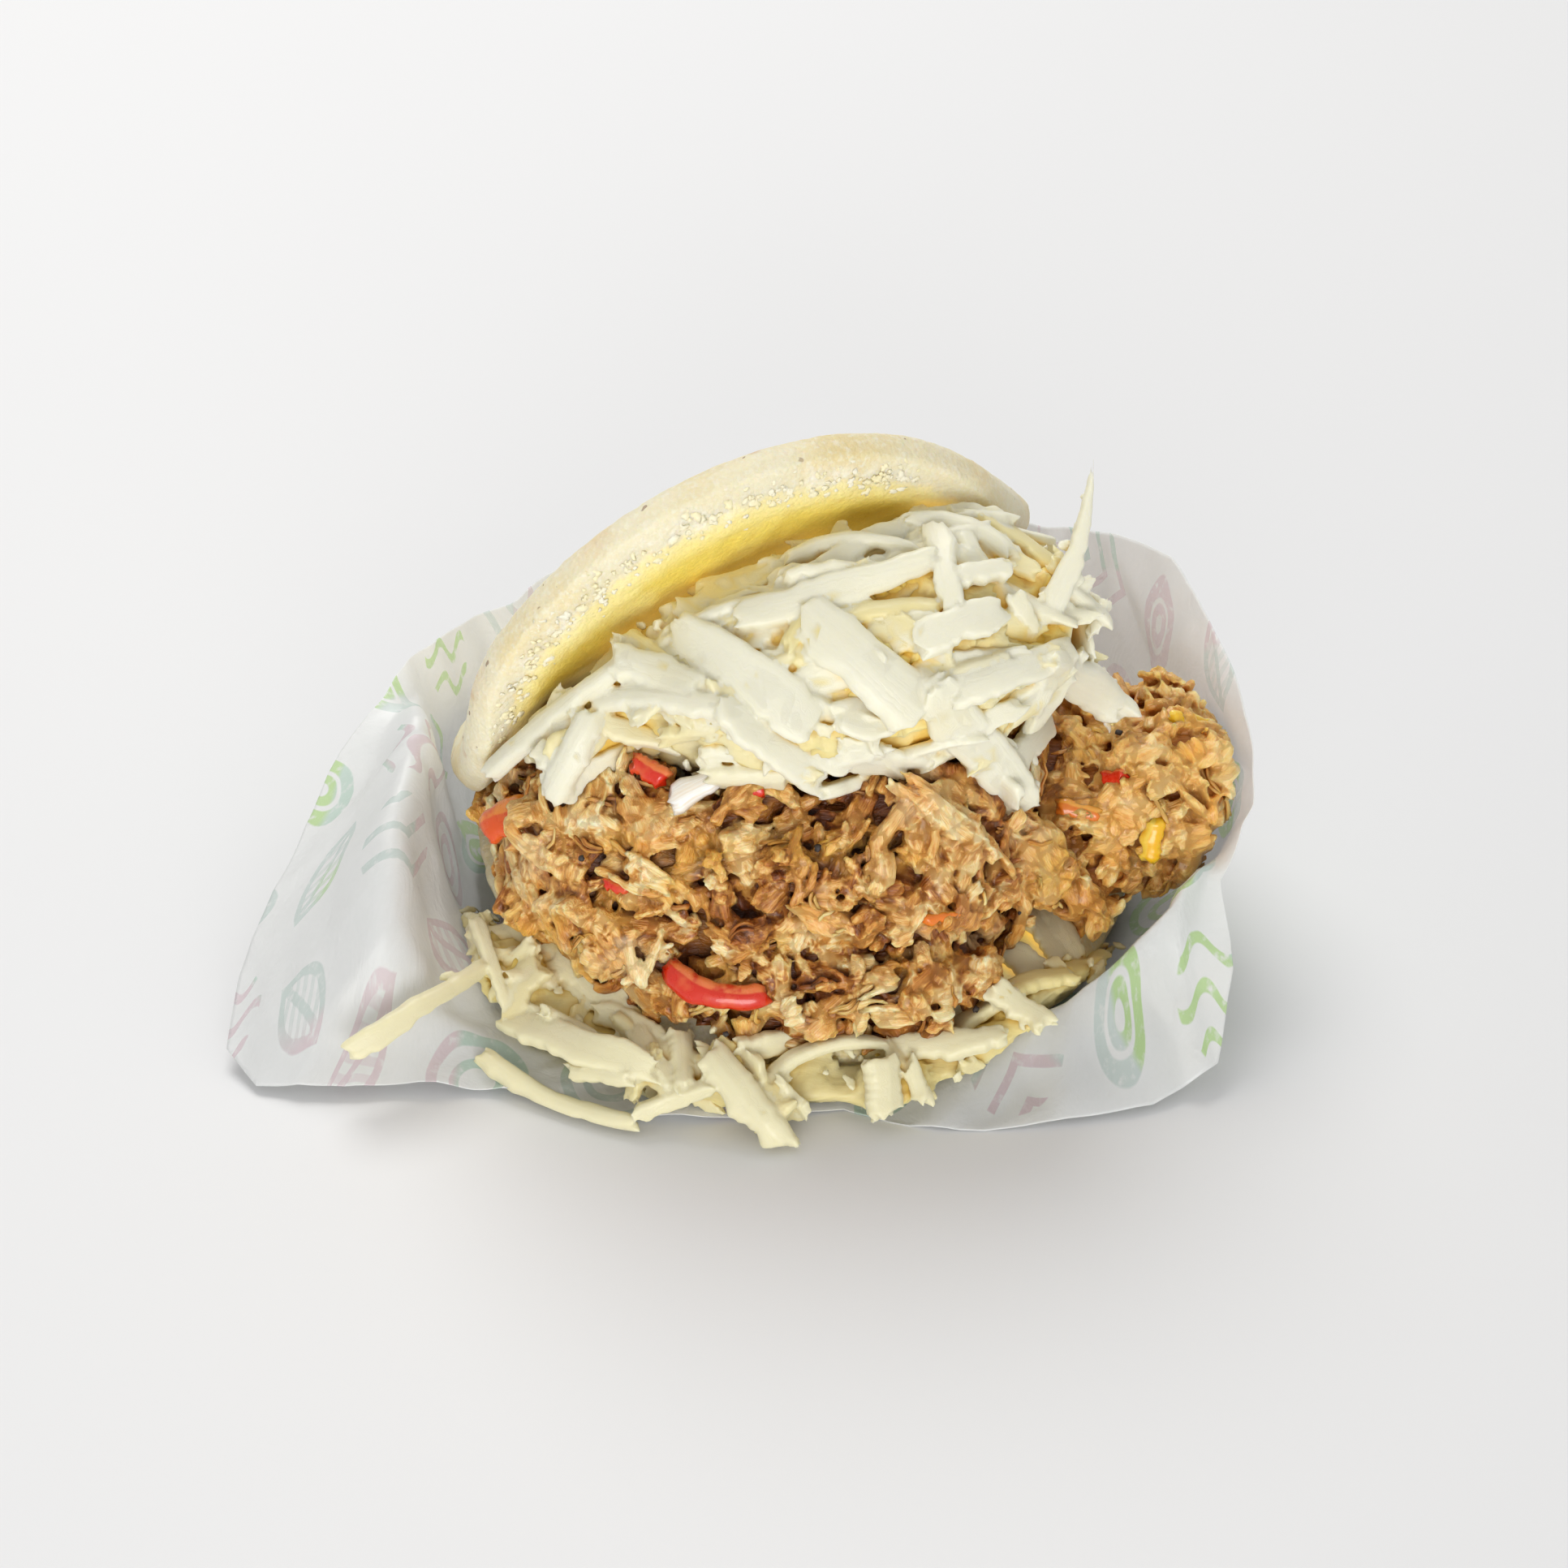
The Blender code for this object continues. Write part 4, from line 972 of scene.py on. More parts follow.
def core(name, grid, inset, lumps, scale, tone):
    """A heap's own body, a little inside its solid, with relief."""
    points, normals, faces = fused(*solid_points(name), grid, 6)
    batch = Batch(name + "_core")
    skin = search_tree(name)
    for i, point in enumerate(points):
        co, inward = Vector(point), -Vector(normals[i])
        bump = noise.noise(co * scale) + 0.5 * noise.noise(co * scale * 2.7)
        depth = skin.ray_cast(co + inward * 0.3, inward)[3] or 0.0
        points[i] += normals[i] * max(lumps * bump - inset, -0.4 * depth)
    batch.add(points, faces, points, tone)
    return batch


def cut_place(share):
    """Reach and height on a half's sloping cut edge, from the rim (0) to the flat cut (1)."""
    fall = math.sin(share * math.pi / 2) ** 0.85
    depth = BREAD_THICKNESS - BREAD_CROWN - CRUST_ROUND
    return BREAD_RADIUS - CUT_BEVEL * share, depth * (1 - fall) - BREAD_THICKNESS / 2


def bread_section():
    """A bread half's section from the crust's middle round the rim to the cut's middle.

    Each point has its reach and height, how much it is cut, and how much outer crust.
    """
    half = BREAD_THICKNESS / 2
    shoulder = BREAD_RADIUS - CRUST_ROUND
    points = [(shoulder * share, half - BREAD_CROWN * share ** 2, 0.0, 1.0)
              for share in np.linspace(0, 0.96, 34)]
    for share in np.linspace(0, 1, 14):
        angle = math.pi / 2 * (1 - share)
        points.append((shoulder + CRUST_ROUND * math.cos(angle),
                       half - BREAD_CROWN - CRUST_ROUND * (1 - math.sin(angle)), 0.12 * share,
                       1 - 0.6 * share))
    for share in np.linspace(0.06, 1, 16):
        points.append((*cut_place(share), 0.15 + 0.85 * smooth(share, 0.0, 0.8), 0.0))
    reach = BREAD_RADIUS - CUT_BEVEL
    points += [(reach * share, -half, 1.0, 0.0) for share in np.linspace(0.96, 0, 26)]
    return points


def bend_base(point):
    """A point of the flat lower half, with the half's curled side."""
    reach = point.xy.length / BREAD_RADIUS
    angle = math.atan2(-point.y, point.x)
    side = max(math.cos(angle - BASE_CURL_SIDE), 0.0)
    rise = BASE_CURL * side * smooth(reach, BASE_CURL_FROM, 1.15) * 1.4
    return Vector((point.x, -point.y, BASE_FLOOR + BREAD_THICKNESS / 2 - point.z + rise))


@functools.cache
def lid_axes():
    """The lid's directions: along its hinge, towards the gap and outward."""
    along = (VIEW_RIGHT * math.cos(LID_TILT) + VIEW_UP * math.sin(LID_TILT)).normalized()
    front = -VIEW_AHEAD
    out = front.cross(along)
    opened = front * math.cos(LID_OPENING) + out * math.sin(LID_OPENING)
    return along, opened, opened.cross(along)


def arch(reach, share):
    """The lid's arched section: place along it, height and slope."""
    steps = 24
    along, up, slope = LID_PEAK, 0.0, 0.0
    for i in range(steps):
        spot = LID_PEAK + (reach - LID_PEAK) * (i + 0.5) / steps
        slope = (spot - LID_PEAK) / ARCH_RADIUS
        if spot > LID_PEAK:
            slope += RIGHT_CURL * (spot - LID_PEAK) ** 2
        if spot < LEFT_CURL_START:
            slope += (spot - LEFT_CURL_START) / LEFT_CURL_RADIUS
        slope *= share
        along += math.cos(slope) * (reach - LID_PEAK) / steps
        up -= math.sin(slope) * (reach - LID_PEAK) / steps
    return along, up, slope


def bend_lid(point):
    """A point of the flat upper half, arched and opened."""
    along, front, out = lid_axes()
    share = smooth(point.y, -BREAD_RADIUS, BREAD_RADIUS / 2)
    x, rise, slope = arch(point.x, share)
    rise += LIP_CURL * max(point.y - LIP_START, 0.0) ** 2
    layer = out * math.cos(slope) + along * math.sin(slope)
    return LID_CENTRE + along * x + front * point.y + out * rise + layer * point.z


def bread_half(bend, seed):
    """One half with its crust's grain, its torn cut edge and its section's values."""
    section = bread_section()
    points, marks = [], []
    for step in range(BREAD_STEPS):
        turn = math.tau * step / BREAD_STEPS
        for reach, height, cut, outer in section:
            x, y = reach * math.cos(turn), reach * math.sin(turn)
            spot = Vector((x, y, height + seed))
            rough = 0.18 * noise.noise(spot * 0.5) + 0.12 * noise.noise(spot * 1.6)
            edge = smooth(reach, BREAD_RADIUS * 0.7, BREAD_RADIUS)
            crag = noise.noise(Vector((x, y, 0.0)) * 0.16) - 0.5
            rim = math.exp(-((cut - 0.45) / 0.3) ** 2) if cut > 0 else 0.0
            tear = rim * (0.5 * noise.noise(spot * 0.35) + 0.45 * noise.noise(spot * 1.3))
            grow = 1 + (edge * (crag * BREAD_CRAGS + rough) + tear * 0.9) / BREAD_RADIUS
            lift = rough * (1 - edge * 0.5) - 0.25 * (1 - cut) * (1 - edge)
            lift += cut * (0.35 * noise.noise(spot * 0.3) + 0.2 * noise.noise(spot * 0.9))
            lift += tear * 0.6
            points.append(list(bend(Vector((x * grow, y * grow, height + lift)))))
            marks.append((cut, max(BREAD_RADIUS - reach, 0) * (cut > 0), outer))
    count = len(section)
    faces = []
    for step in range(BREAD_STEPS):
        following = (step + 1) % BREAD_STEPS
        for i in range(count - 1):
            faces.append((step * count + i, following * count + i,
                          following * count + i + 1, step * count + i + 1))
    return points, faces, marks


def make_crumbs():
    """Torn crumbs along the cut edges of both halves."""
    draw = random.Random(SEED + 5)
    skin = search_tree("arepa_bread")
    crumbs = Batch("bread_crumbs")
    for i in range(CRUMB_COUNT):
        turn = draw.uniform(0, math.tau)
        reach, height = cut_place(min(max(draw.gauss(*CRUMB_PLACE), 0.05), 1.0))
        bend = bend_base if i % 4 == 0 else bend_lid
        point = bend(Vector((reach * math.cos(turn), reach * math.sin(turn), height)))
        if noise.noise(point * 0.06) < -0.05:
            continue
        near, normal, _, _ = skin.find_nearest(point)
        size = draw.uniform(0.3, 0.55) if draw.random() < 0.88 else draw.uniform(0.5, 1.0)
        sizes = (size * draw.uniform(0.9, 1.6), size, size * 0.6)
        crumbs.add(*chunk(2, near - normal * size * 0.42, normal, tangent(draw, normal), sizes,
                          draw, 0.9, 0.3), 0.5)
    crumbs.build(crumb_finish(), "corn_bread")


def make_bread():
    """Both halves in one mesh, joined at the back."""
    points, faces, marks = [], [], []
    for bend, seed in ((bend_base, 0.0), (bend_lid, 40.0)):
        more, sides, values = bread_half(bend, seed)
        faces += [tuple(len(points) + i for i in face) for face in sides]
        points += more
        marks += values
    bread = new_piece("bread_halves", points, faces, bread_finish(), "corn_bread", "arepa_bread")
    stamp(bread, "section", marks)
    bm = bmesh.new()
    bm.from_mesh(bread.data)
    bmesh.ops.remove_doubles(bm, verts=bm.verts, dist=1e-5)
    bmesh.ops.recalc_face_normals(bm, faces=bm.faces)
    bm.to_mesh(bread.data)
    bm.free()
    return bread


def through(a, b, c, d, t):
    """A place between b and c on a smooth line through four places."""
    return b + 0.5 * t * (c - a + t * (2 * a - 5 * b + 4 * c - d + t * (3 * (b - c) + d - a)))


def curve_through(rows, count):
    """A smooth line of count points through the rows of an array."""
    rows = np.asarray(rows, float)
    last = len(rows) - 1
    made = []
    for i in range(count):
        place = last * i / (count - 1)
        k = min(int(place), last - 1)
        near = (rows[min(max(k + offset, 0), last)] for offset in (-1, 0, 1, 2))
        made.append(through(*near, place - k))
    return np.array(made)


def paper_sections():
    """For each radial line of the sheet: its angle, then reach and height along it."""
    rows = [(math.radians(angle), *foot, *crest, *edge)
            for angle, foot, crest, edge in PAPER_STATIONS]
    count = len(rows)
    made = []
    for i in range(count):
        for step in range(PAPER_LINES):
            t = step / PAPER_LINES
            near = []
            for offset in (-1, 0, 1, 2):
                row = rows[(i + offset) % count]
                near.append(np.array((row[0] + math.tau * ((i + offset) // count), *row[1:])))
            values = through(*near, t)
            straight = near[1] + (near[2] - near[1]) * t
            angle, foot_r, foot_z = values[:3]
            crest_r, crest_z = (values[3:5] + straight[3:5]) / 2
            edge_r, edge_z = straight[5:]
            flat = foot_r * PAPER_FLAT
            corners = [
                (0.0, 0.0),
                (flat * 0.5, 0.0),
                (flat, 0.0),
                (foot_r, foot_z),
                (foot_r + 0.62 * (crest_r - foot_r), foot_z + 0.45 * (crest_z - foot_z)),
                (crest_r, crest_z),
                (crest_r + 0.5 * (edge_r - crest_r), crest_z + 0.55 * (edge_z - crest_z)),
                (edge_r, edge_z),
            ]
            made.append((angle, curve_through(corners, PAPER_SECTION)[1:]))
    return made


def folds(draw, flat, loose):
    """Height of the sheet's sharp straight creases at its flat points."""
    height = np.zeros(len(flat))
    for _ in range(PAPER_FOLDS):
        turn, reach = draw.uniform(0, math.tau), draw.uniform(50, 112)
        start = np.array((math.cos(turn), math.sin(turn))) * reach
        turn += math.pi / 2 * draw.uniform(-1.1, 1.1)
        way = np.array((math.cos(turn), math.sin(turn)))
        away = flat - start
        along = away @ way
        aside = np.abs(away @ np.array((-way[1], way[0])))
        wide, long = draw.uniform(3, 13), draw.uniform(18, 60)
        rise = draw.choice((-1, 1)) * draw.uniform(0.5, 1.5)
        fade = np.clip(1.6 * (1 - np.abs(along) / long), 0, 1)
        height += rise * fade * np.clip(1 - aside / wide, 0, 1)
    return np.clip(height, -1.5, 1.5) * loose


def make_paper():
    """The sheet with its creases, and its flat place at every point for the print."""
    lines = paper_sections()
    size = PAPER_SECTION - 1
    places, normals, flats = [np.zeros((1, 3))], [np.array([[0.0, 0.0, 1.0]])], [np.zeros((1, 2))]
    for angle, section in lines:
        way = np.array((math.cos(angle), math.sin(angle), 0.0))
        steps = np.diff(section, axis=0, prepend=np.zeros((1, 2)))
        far = np.cumsum(np.hypot(steps[:, 0], steps[:, 1]))
        slope = np.gradient(section, axis=0)
        slope /= np.linalg.norm(slope, axis=1)[:, None] + 1e-9
        up = np.array((0.0, 0.0, 1.0))
        places.append(np.outer(section[:, 0], way) + np.outer(section[:, 1], up))
        normals.append(np.outer(-slope[:, 1], way) + np.outer(slope[:, 0], up))
        flats.append(np.outer(far, way[:2]))
    places, normals, flats = (np.concatenate(rows) for rows in (places, normals, flats))
    far = np.linalg.norm(flats, axis=1)
    loose = np.clip((far - 64.0) / 10.0, 0, 1)
    crumple = np.array([noise.noise(Vector((x * 0.06, y * 0.06, 3.0))) for x, y in flats])
    rise = folds(random.Random(SEED + 9), flats, loose) + loose * (0.35 - np.abs(crumple)) * 1.2
    points = places + normals * (PAPER_SOLID / 2 + rise)[:, None]
    points[:, 2] = np.maximum(points[:, 2], 0.1)
    faces = []
    count = len(lines)
    for i in range(count):
        k = (i + 1) % count
        faces.append((0, 1 + i * size, 1 + k * size))
        for j in range(size - 1):
            faces.append((1 + i * size + j, 1 + i * size + j + 1,
                          1 + k * size + j + 1, 1 + k * size + j))
    paper = new_piece("printed_paper", points, faces, paper_finish(), "paper", "paper_wrap")
    stamp(paper, "sheet", np.column_stack([flats, np.zeros(len(flats))]))
    shell = paper.modifiers.new("thickness", "SOLIDIFY")
    shell.thickness = PAPER_SHEET * MM
    shell.offset = 0.0
    apply_steps(paper)
    return paper


# What the filling must not run into, one by one and together
WALLS = [search_tree("arepa_bread"), search_tree("paper_wrap")]
ALL_ROUND = search_tree("arepa_bread", "paper_wrap")


def run_way(draw, normal, runs):
    """A direction along a surface, near one of the two ways in which shreds mostly run."""
    turn = math.radians(draw.choice(runs) + draw.gauss(0, 17))
    way = VIEW_RIGHT * math.cos(turn) + VIEW_UP * math.sin(turn)
    way = way - normal * way.dot(normal)
    return way.normalized() if way.length > 0.2 else tangent(draw, normal)


def shreds(name, node, rows, count, crumbs, runs, stain_reach, seed):
    """All the shreds and crumbs of one heap of cheese."""
    draw = random.Random(seed)
    vary = draw.uniform
    batch = Batch(name)
    paper = ("paper_wrap",) if node == "cheese_base" else ()
    ground = search_tree(node, "pulled_pork", *paper)
    meat = search_tree("pulled_pork")
    skin = search_tree(node)
    taken = []
    for across, up, turn, length, width, bend, pointed in rows:
        ray = view_ray(across, up)
        near = WALLS[0].ray_cast(VIEW_EYE, ray)[3]
        far = ground.ray_cast(VIEW_EYE, ray)[3]
        on_bread = near is not None and (far is None or near < far)
        line, facing = laid(WALLS[0] if on_bread else ground, across, up, turn, length, bend,
                            BREAD_LIFT if on_bread else vary(0.3, 1.5), 40)
        if line is None:
            continue
        side = facing.cross(Vector(line[-1] - line[0])).normalized()
        facing = (facing + side * vary(-0.6, 0.6) * (1 - 0.7 * on_bread)).normalized()
        piece = ribbon(line, facing, width, SHRED_THICKNESS - on_bread, draw, pointed, 14,
                       0.45 * min(width / 6, 1), vary(-0.1, 0.35),
                       vary(-0.8, 0.8) * (1 - 0.7 * on_bread), 1.3, 0.8)
        piece[0][:, 2] = np.maximum(piece[0][:, 2], 1.2)
        if crosses(piece[0], piece[1], WALLS[:1]):
            continue
        taken += [Vector(point) for point in line[::6]]
        batch.add(*piece, vary(0.75, 1.0))
    for point, normal in spots(node, count, SHRED_SPACING, draw, ALL_ROUND, 2.0):
        if skin.ray_cast(point - normal * 0.1, -normal, 6.0)[0]:
            continue
        sunk = SHRED_SINK * any((point - other).length < SINK_REACH for other in taken)
        width = vary(2.8, 6.0) if draw.random() < 0.55 else vary(6.0, 9.0)
        way = run_way(draw, normal, runs)
        way = (way + normal * vary(-0.24, 0.24)).normalized()
        side = normal.cross(way)
        facing = (normal + side * vary(-0.75, 0.75)).normalized()
        length = vary(10, 26)
        piece = None
        for share in (1.0, 0.6, 0.35):
            long = length * share
            line = draped(skin, point, normal, way, long, vary(-1.2, 0.8) - sunk, 28,
                          vary(0.55, 1.0), vary(-0.05, 0.09))
            curl = vary(-0.3, 0.3) * long * (0.25 - np.linspace(-0.5, 0.5, 28) ** 2)
            made = ribbon(line + np.outer(curl, np.array(side)), facing,
                          min(width, long * 0.6), vary(1.9, 3.1), draw, vary(0, 0.6), 12, 0.5,
                          vary(-0.3, 0.35), vary(-0.6, 0.6), 1.6, vary(0.3, 1.0))
            if (made[0][:, 2].min() > 1.0 and not crosses(made[0], made[1], WALLS)
                    and max(over(skin, spot) for spot in made[0][::9]) < PROUD):
                piece = made
                break
        if not piece:
            continue
        near = meat.find_nearest(point)[3]
        sauce = stain_reach and max(1 - near / stain_reach, 0) * 0.8
        batch.add(*piece, vary(0.2, 1.0), sauce)
    for point, normal in spots(node, crumbs, CHEESE_CRUMB_SPACING, draw, ALL_ROUND, 3.0):
        sizes = [vary(0.7, 2.4), vary(0.6, 1.4), vary(0.5, 0.9)]
        piece = chunk(2, point + normal * vary(-0.3, 0.7), normal, tangent(draw, normal), sizes,
                      draw, 0.8, 0.3)
        batch.add(*piece, vary(0.5, 1.0))
    return one_skin(batch, SHRED_GRID, 1, SHRED_FACES)[0]


def clump_flow(point):
    """The way in which the meat's fibres mostly run at a place."""
    turn = 2.2 * noise.noise(point * 0.035) + 0.3
    return VIEW_RIGHT * math.cos(turn) + VIEW_UP * math.sin(turn)


def wavy(draw, line, normal, size):
    """A line with random waves in it."""
    rings = len(line)
    for axis in (normal, Vector([draw.uniform(-1, 1) for _ in range(3)]).normalized()):
        line = line + np.outer(wobble(draw, rings, 3) * size, np.array(axis))
    return line


def bundle(draw, ground, point, normal, height, count, thick, length, stiff=0.5):
    """Some torn fibres side by side on a surface."""
    vary = draw.uniform
    way = tangent(draw, normal, clump_flow(point) * 0.6)
    way = (way + normal * vary(-0.35, 0.35)).normalized()
    side = normal.cross(way).normalized()
    bend = vary(-0.5, 0.5) * length
    rise = vary(-0.1, 0.25)
    fan = vary(-0.2, 0.35)
    made = []
    for j in range(count):
        place = (j - (count - 1) / 2) * thick * vary(0.8, 1.0)
        line = draped(ground, point + side * place + way * vary(-0.2, 0.2) * length,
                      normal, (way + side * place * fan * 0.4).normalized(),
                      length * vary(0.5, 1.0), height - 0.08 * place * place, 10,
                      stiff + vary(-0.15, 0.3), rise)
        line = line + np.outer(bend * (0.25 - np.linspace(-0.5, 0.5, 10) ** 2), np.array(side))
        line = wavy(draw, line, normal, 0.4)
        made.append(ribbon(line, normal, thick * vary(0.8, 1.15), thick * vary(0.7, 1.0), draw,
                           vary(0.0, 0.35), 6, 0.2, 0.0, vary(-1, 1)))
    return made


def mark_open(pieces):
    """Stamps on each point of the food how much of its surroundings is open, from 0 to 1, from
    which the finishes paint shade and warm bounce light.
    """
    tree = tree_of(piece.data for piece in pieces)
    turns = [(0.8 * math.cos(math.tau * k / 4), 0.8 * math.sin(math.tau * k / 4))
             for k in range(4)]
    for piece in pieces:
        mesh = piece.data
        shares = np.zeros(len(mesh.vertices))
        for i, vertex in enumerate(mesh.vertices):
            normal = vertex.normal.copy()
            side = normal.orthogonal().normalized()
            other = normal.cross(side)
            start = vertex.co / MM + normal * 0.2
            total = 0.0
            for a, b in turns:
                way = normal * 0.6 + side * a + other * b
                far = tree.ray_cast(start, way, OPEN_REACH)[3]
                total += 1.0 if far is None else far / OPEN_REACH
            shares[i] = total / 4
        ends = np.zeros(2 * len(mesh.edges), np.int64)
        mesh.edges.foreach_get("vertices", ends)
        a, b = ends[::2], ends[1::2]
        counts = np.bincount(ends, minlength=len(shares)) + 1
        for _ in range(3):
            total = shares + np.bincount(a, shares[b], len(shares)) + np.bincount(
                b, shares[a], len(shares))
            shares = total / counts
        stamp(piece, "open", shares)


def relief_of(points, faces):
    """How far each point of a mesh stands out from the mesh round it, from -1 to 1."""
    obj = linked("relief", new_mesh("relief", points, faces))
    soft = obj.modifiers.new("soft", "SMOOTH")
    soft.iterations = SOFT_ROUNDS
    apply_steps(obj)
    smoothed = np.array([list(vertex.co) for vertex in obj.data.vertices])
    outward = np.array([list(vertex.normal) for vertex in obj.data.vertices])
    bpy.data.objects.remove(obj, do_unlink=True)
    return np.clip(((points - smoothed) * outward).sum(1) * 1.6, -1, 1)


def make_meat():
    """The pork: a core, two torn masses of clumps and thick fibres on it, and fine strands."""
    draw = random.Random(SEED)
    vary = draw.uniform
    body = search_tree("pulled_pork")
    covers = search_tree("arepa_bread", "paper_wrap", "cheese_top", "cheese_base")
    finish = meat_finish()

    def places(count, spacing, room=MEAT_ROOM):
        return spots("pulled_pork", count, spacing, draw, covers, room)

    def sauce_at(point):
        return smooth(point.x, 35, 60) * 0.8 + 0.25 + 0.3 * smooth(-point.z, -22, -8)

    pits = [(body.ray_cast(VIEW_EYE, view_ray(across, up))[0], reach)
            for across, up, reach in MEAT_PITS]

    def hollow_at(point):
        pit = max(smooth(1.4 * reach - (point - hit).length, 0, reach) for hit, reach in pits)
        return max(pit, smooth(noise.noise(point * 0.085 + Vector((5, 1, 2))), 0.1, 0.5))

    def torn(points, normals, grain, ridges, knots):
        """Moves a surface's points out by ridges along its grain and by knots."""
        for i, point in enumerate(points):
            co, local = Vector(point), Vector(grain[i])
            ridge = abs(noise.noise(Vector((local.x * 0.22, local.y * 0.9, local.z * 0.8))))
            knot = abs(noise.noise(co * 0.42)) + 0.5 * abs(noise.noise(co * 0.95))
            points[i] += normals[i] * (ridges * ridge + knots * knot - 0.2)

    points, normals, faces = fused(*solid_points("pulled_pork"), MEAT_CORE_GRID, 4)
    for i, point in enumerate(points):
        points[i] -= normals[i] * (MEAT_INSET + MEAT_HOLLOW * hollow_at(Vector(point)))
    torn(points, normals, points, 0.8, 0.8)
    heart = Batch("pork_core")
    # the core's low tone is painted shade, dark in the gaps between the pieces
    heart.add(points, faces, points, 0.2, 0.6)
    stamp(heart.build(finish, "pulled_pork", "pulled_pork", skin=body), "relief",
          relief_of(points, faces))

    halves = Batch("pork_mass_left"), Batch("pork_mass_right")
    marks = []

    def add(piece, middle, way, normal, tone, sauce):
        """Adds a piece unless it runs into the bread or the paper, and marks how it lies."""
        if piece[0][:, 2].min() < MEAT_FLOOR or crosses(piece[0], piece[1], WALLS):
            return
        halves[int(middle[0] > MEAT_MIDDLE)].add(*piece, tone, sauce)
        marks.append((Vector(middle), way, normal))

    def add_cords(cords, normal, tone, sauce):
        for cord in cords:
            ring = cord[0][:-2].reshape(-1, 6, 3).mean(1)
            add(cord, ring[5], (Vector(ring[-1]) - Vector(ring[0])).normalized(), normal,
                tone + vary(-0.15, 0.2), sauce)

    for point, normal in places(CLUMP_COUNT, CLUMP_SPACING):
        hollow = hollow_at(point)
        if hollow > 0.6:
            continue
        way = tangent(draw, normal, clump_flow(point))
        sizes = (vary(2.8, 5.6), vary(2.0, 3.8), vary(1.8, 2.8))
        middle = point - normal * (sizes[2] + 0.2 + 2.2 * hollow + vary(-1.0, 0.8))
        add(chunk(3, middle, normal, way, sizes, draw, 0.55, 0.25, 0.5), middle, way, normal,
            vary(0.2, 0.7), sauce_at(point) * vary(0.2, 1.0))
    for point, normal in places(STRIP_COUNT, STRIP_SPACING):
        hollow = hollow_at(point)
        way = tangent(draw, normal, clump_flow(point) * 0.5)
        way = (way + normal * vary(-0.3, 0.3)).normalized()
        line = draped(body, point, normal, way, vary(7, 16), vary(-1.6, -0.4) - 2.4 * hollow, 15,
                      vary(0.4, 0.9), vary(-0.1, 0.2))
        line = wavy(draw, line, normal, 0.6)
        facing = (normal + normal.cross(way) * vary(-0.7, 0.7)).normalized()
        strip = ribbon(line, facing, vary(2.6, 5.2), vary(1.6, 2.8), draw, vary(0.0, 0.5), 12, 0.5,
                       vary(-0.2, 0.3), vary(-0.8, 0.8), 1.2)
        # the tone drops in the pits: painted shade
        shade = vary(0.3, 1.0) - 0.3 * hollow
        add(strip, line[7], way, normal, shade, sauce_at(point) * vary(0.0, 1.2))
    for across, up, turn, length, width, tone in MEAT_BLOCKS:
        line, facing = laid(body, across, up, turn, length, 0, 0.0, 3)
        way = Vector(line[2] - line[0]).normalized()
        facing = (facing - way * facing.dot(way)).normalized()
        middle = Vector(line[1]) - facing * BLOCK_SINK
        sizes = (length / 2, width / 2, BLOCK_DEPTH)
        add(chunk(4, middle, facing, way, sizes, draw, 0.5, 0.25, 0.6), middle, way, facing,
            tone, 0.6)
    for point, normal in places(BUNDLE_COUNT, BUNDLE_SPACING):
        hollow = hollow_at(point)
        height = vary(-0.7, 0.8) - 2.6 * hollow
        # the tone drops in the pits: painted shade
        add_cords(bundle(draw, body, point, normal, height, draw.randint(1, 5), vary(1.3, 2.3),
                         vary(4.5, 12.0)),
                  normal, vary(0.0, 1.0) - 0.4 * hollow, sauce_at(point) * vary(0.0, 1.4))
    for point, normal in places(NUB_COUNT, NUB_SPACING):
        hollow = hollow_at(point)
        sizes = [vary(1.0, 3.2), vary(0.8, 2.0), vary(0.8, 1.6)]
        middle = point + normal * (vary(-1.2, 0.4) - 2.6 * hollow)
        way = tangent(draw, normal)
        add(chunk(3, middle, normal, way, sizes, draw, 0.7, 0.3, 0.5), middle, way, normal,
            vary(0.3, 1.1), sauce_at(point) * vary(0.3, 1.2))

    laid_at = KDTree(len(marks))
    for i, (middle, _, _) in enumerate(marks):
        laid_at.insert(middle, i)
    laid_at.balance()
    surfaces = []
    for batch in halves:
        mass, normals = one_skin(batch, MEAT_GRID, 1, MEAT_FACES)
        points, grain = mass.points[0], mass.grain[0]
        for i, point in enumerate(points):
            co = Vector(point)
            _, k, _ = laid_at.find(co)
            middle, way, normal = marks[k]
            away = co - middle
            grain[i] = (away.dot(way), away.dot(normal.cross(way)), away.dot(normal) + k * 7.3)
        torn(points, normals, grain, 0.45, 0.25)
        surfaces.append((points, mass.faces))
        stamp(mass.build(finish, "pulled_pork", skin=body), "relief",
              relief_of(points, mass.faces))

    count = len(surfaces[0][0])
    outside = BVHTree.FromPolygons(
        np.concatenate([points for points, _ in surfaces]).tolist(),
        surfaces[0][1] + [tuple(count + i for i in face) for face in surfaces[1][1]])
    strands = Batch("pork_strands")
    for point, normal in places(STRAND_COUNT, STRAND_SPACING, 2.0):
        # the tone drops in the pits: painted shade
        tone = vary(0.3, 0.9) - 0.3 * hollow_at(point)
        near = outside.find_nearest(point)[0]
        for cord in bundle(draw, outside, near, normal, vary(-0.2, 0.4), draw.randint(1, 2),
                           vary(0.6, 1.1), vary(4.0, 9.0), 0.15):
            if not crosses(cord[0], cord[1], WALLS):
                strands.add(*cord, tone, sauce_at(point) * 0.6)
    piece = strands.build(finish, "pulled_pork", skin=body)
    stamp(piece, "relief", [0.4] * len(piece.data.vertices))


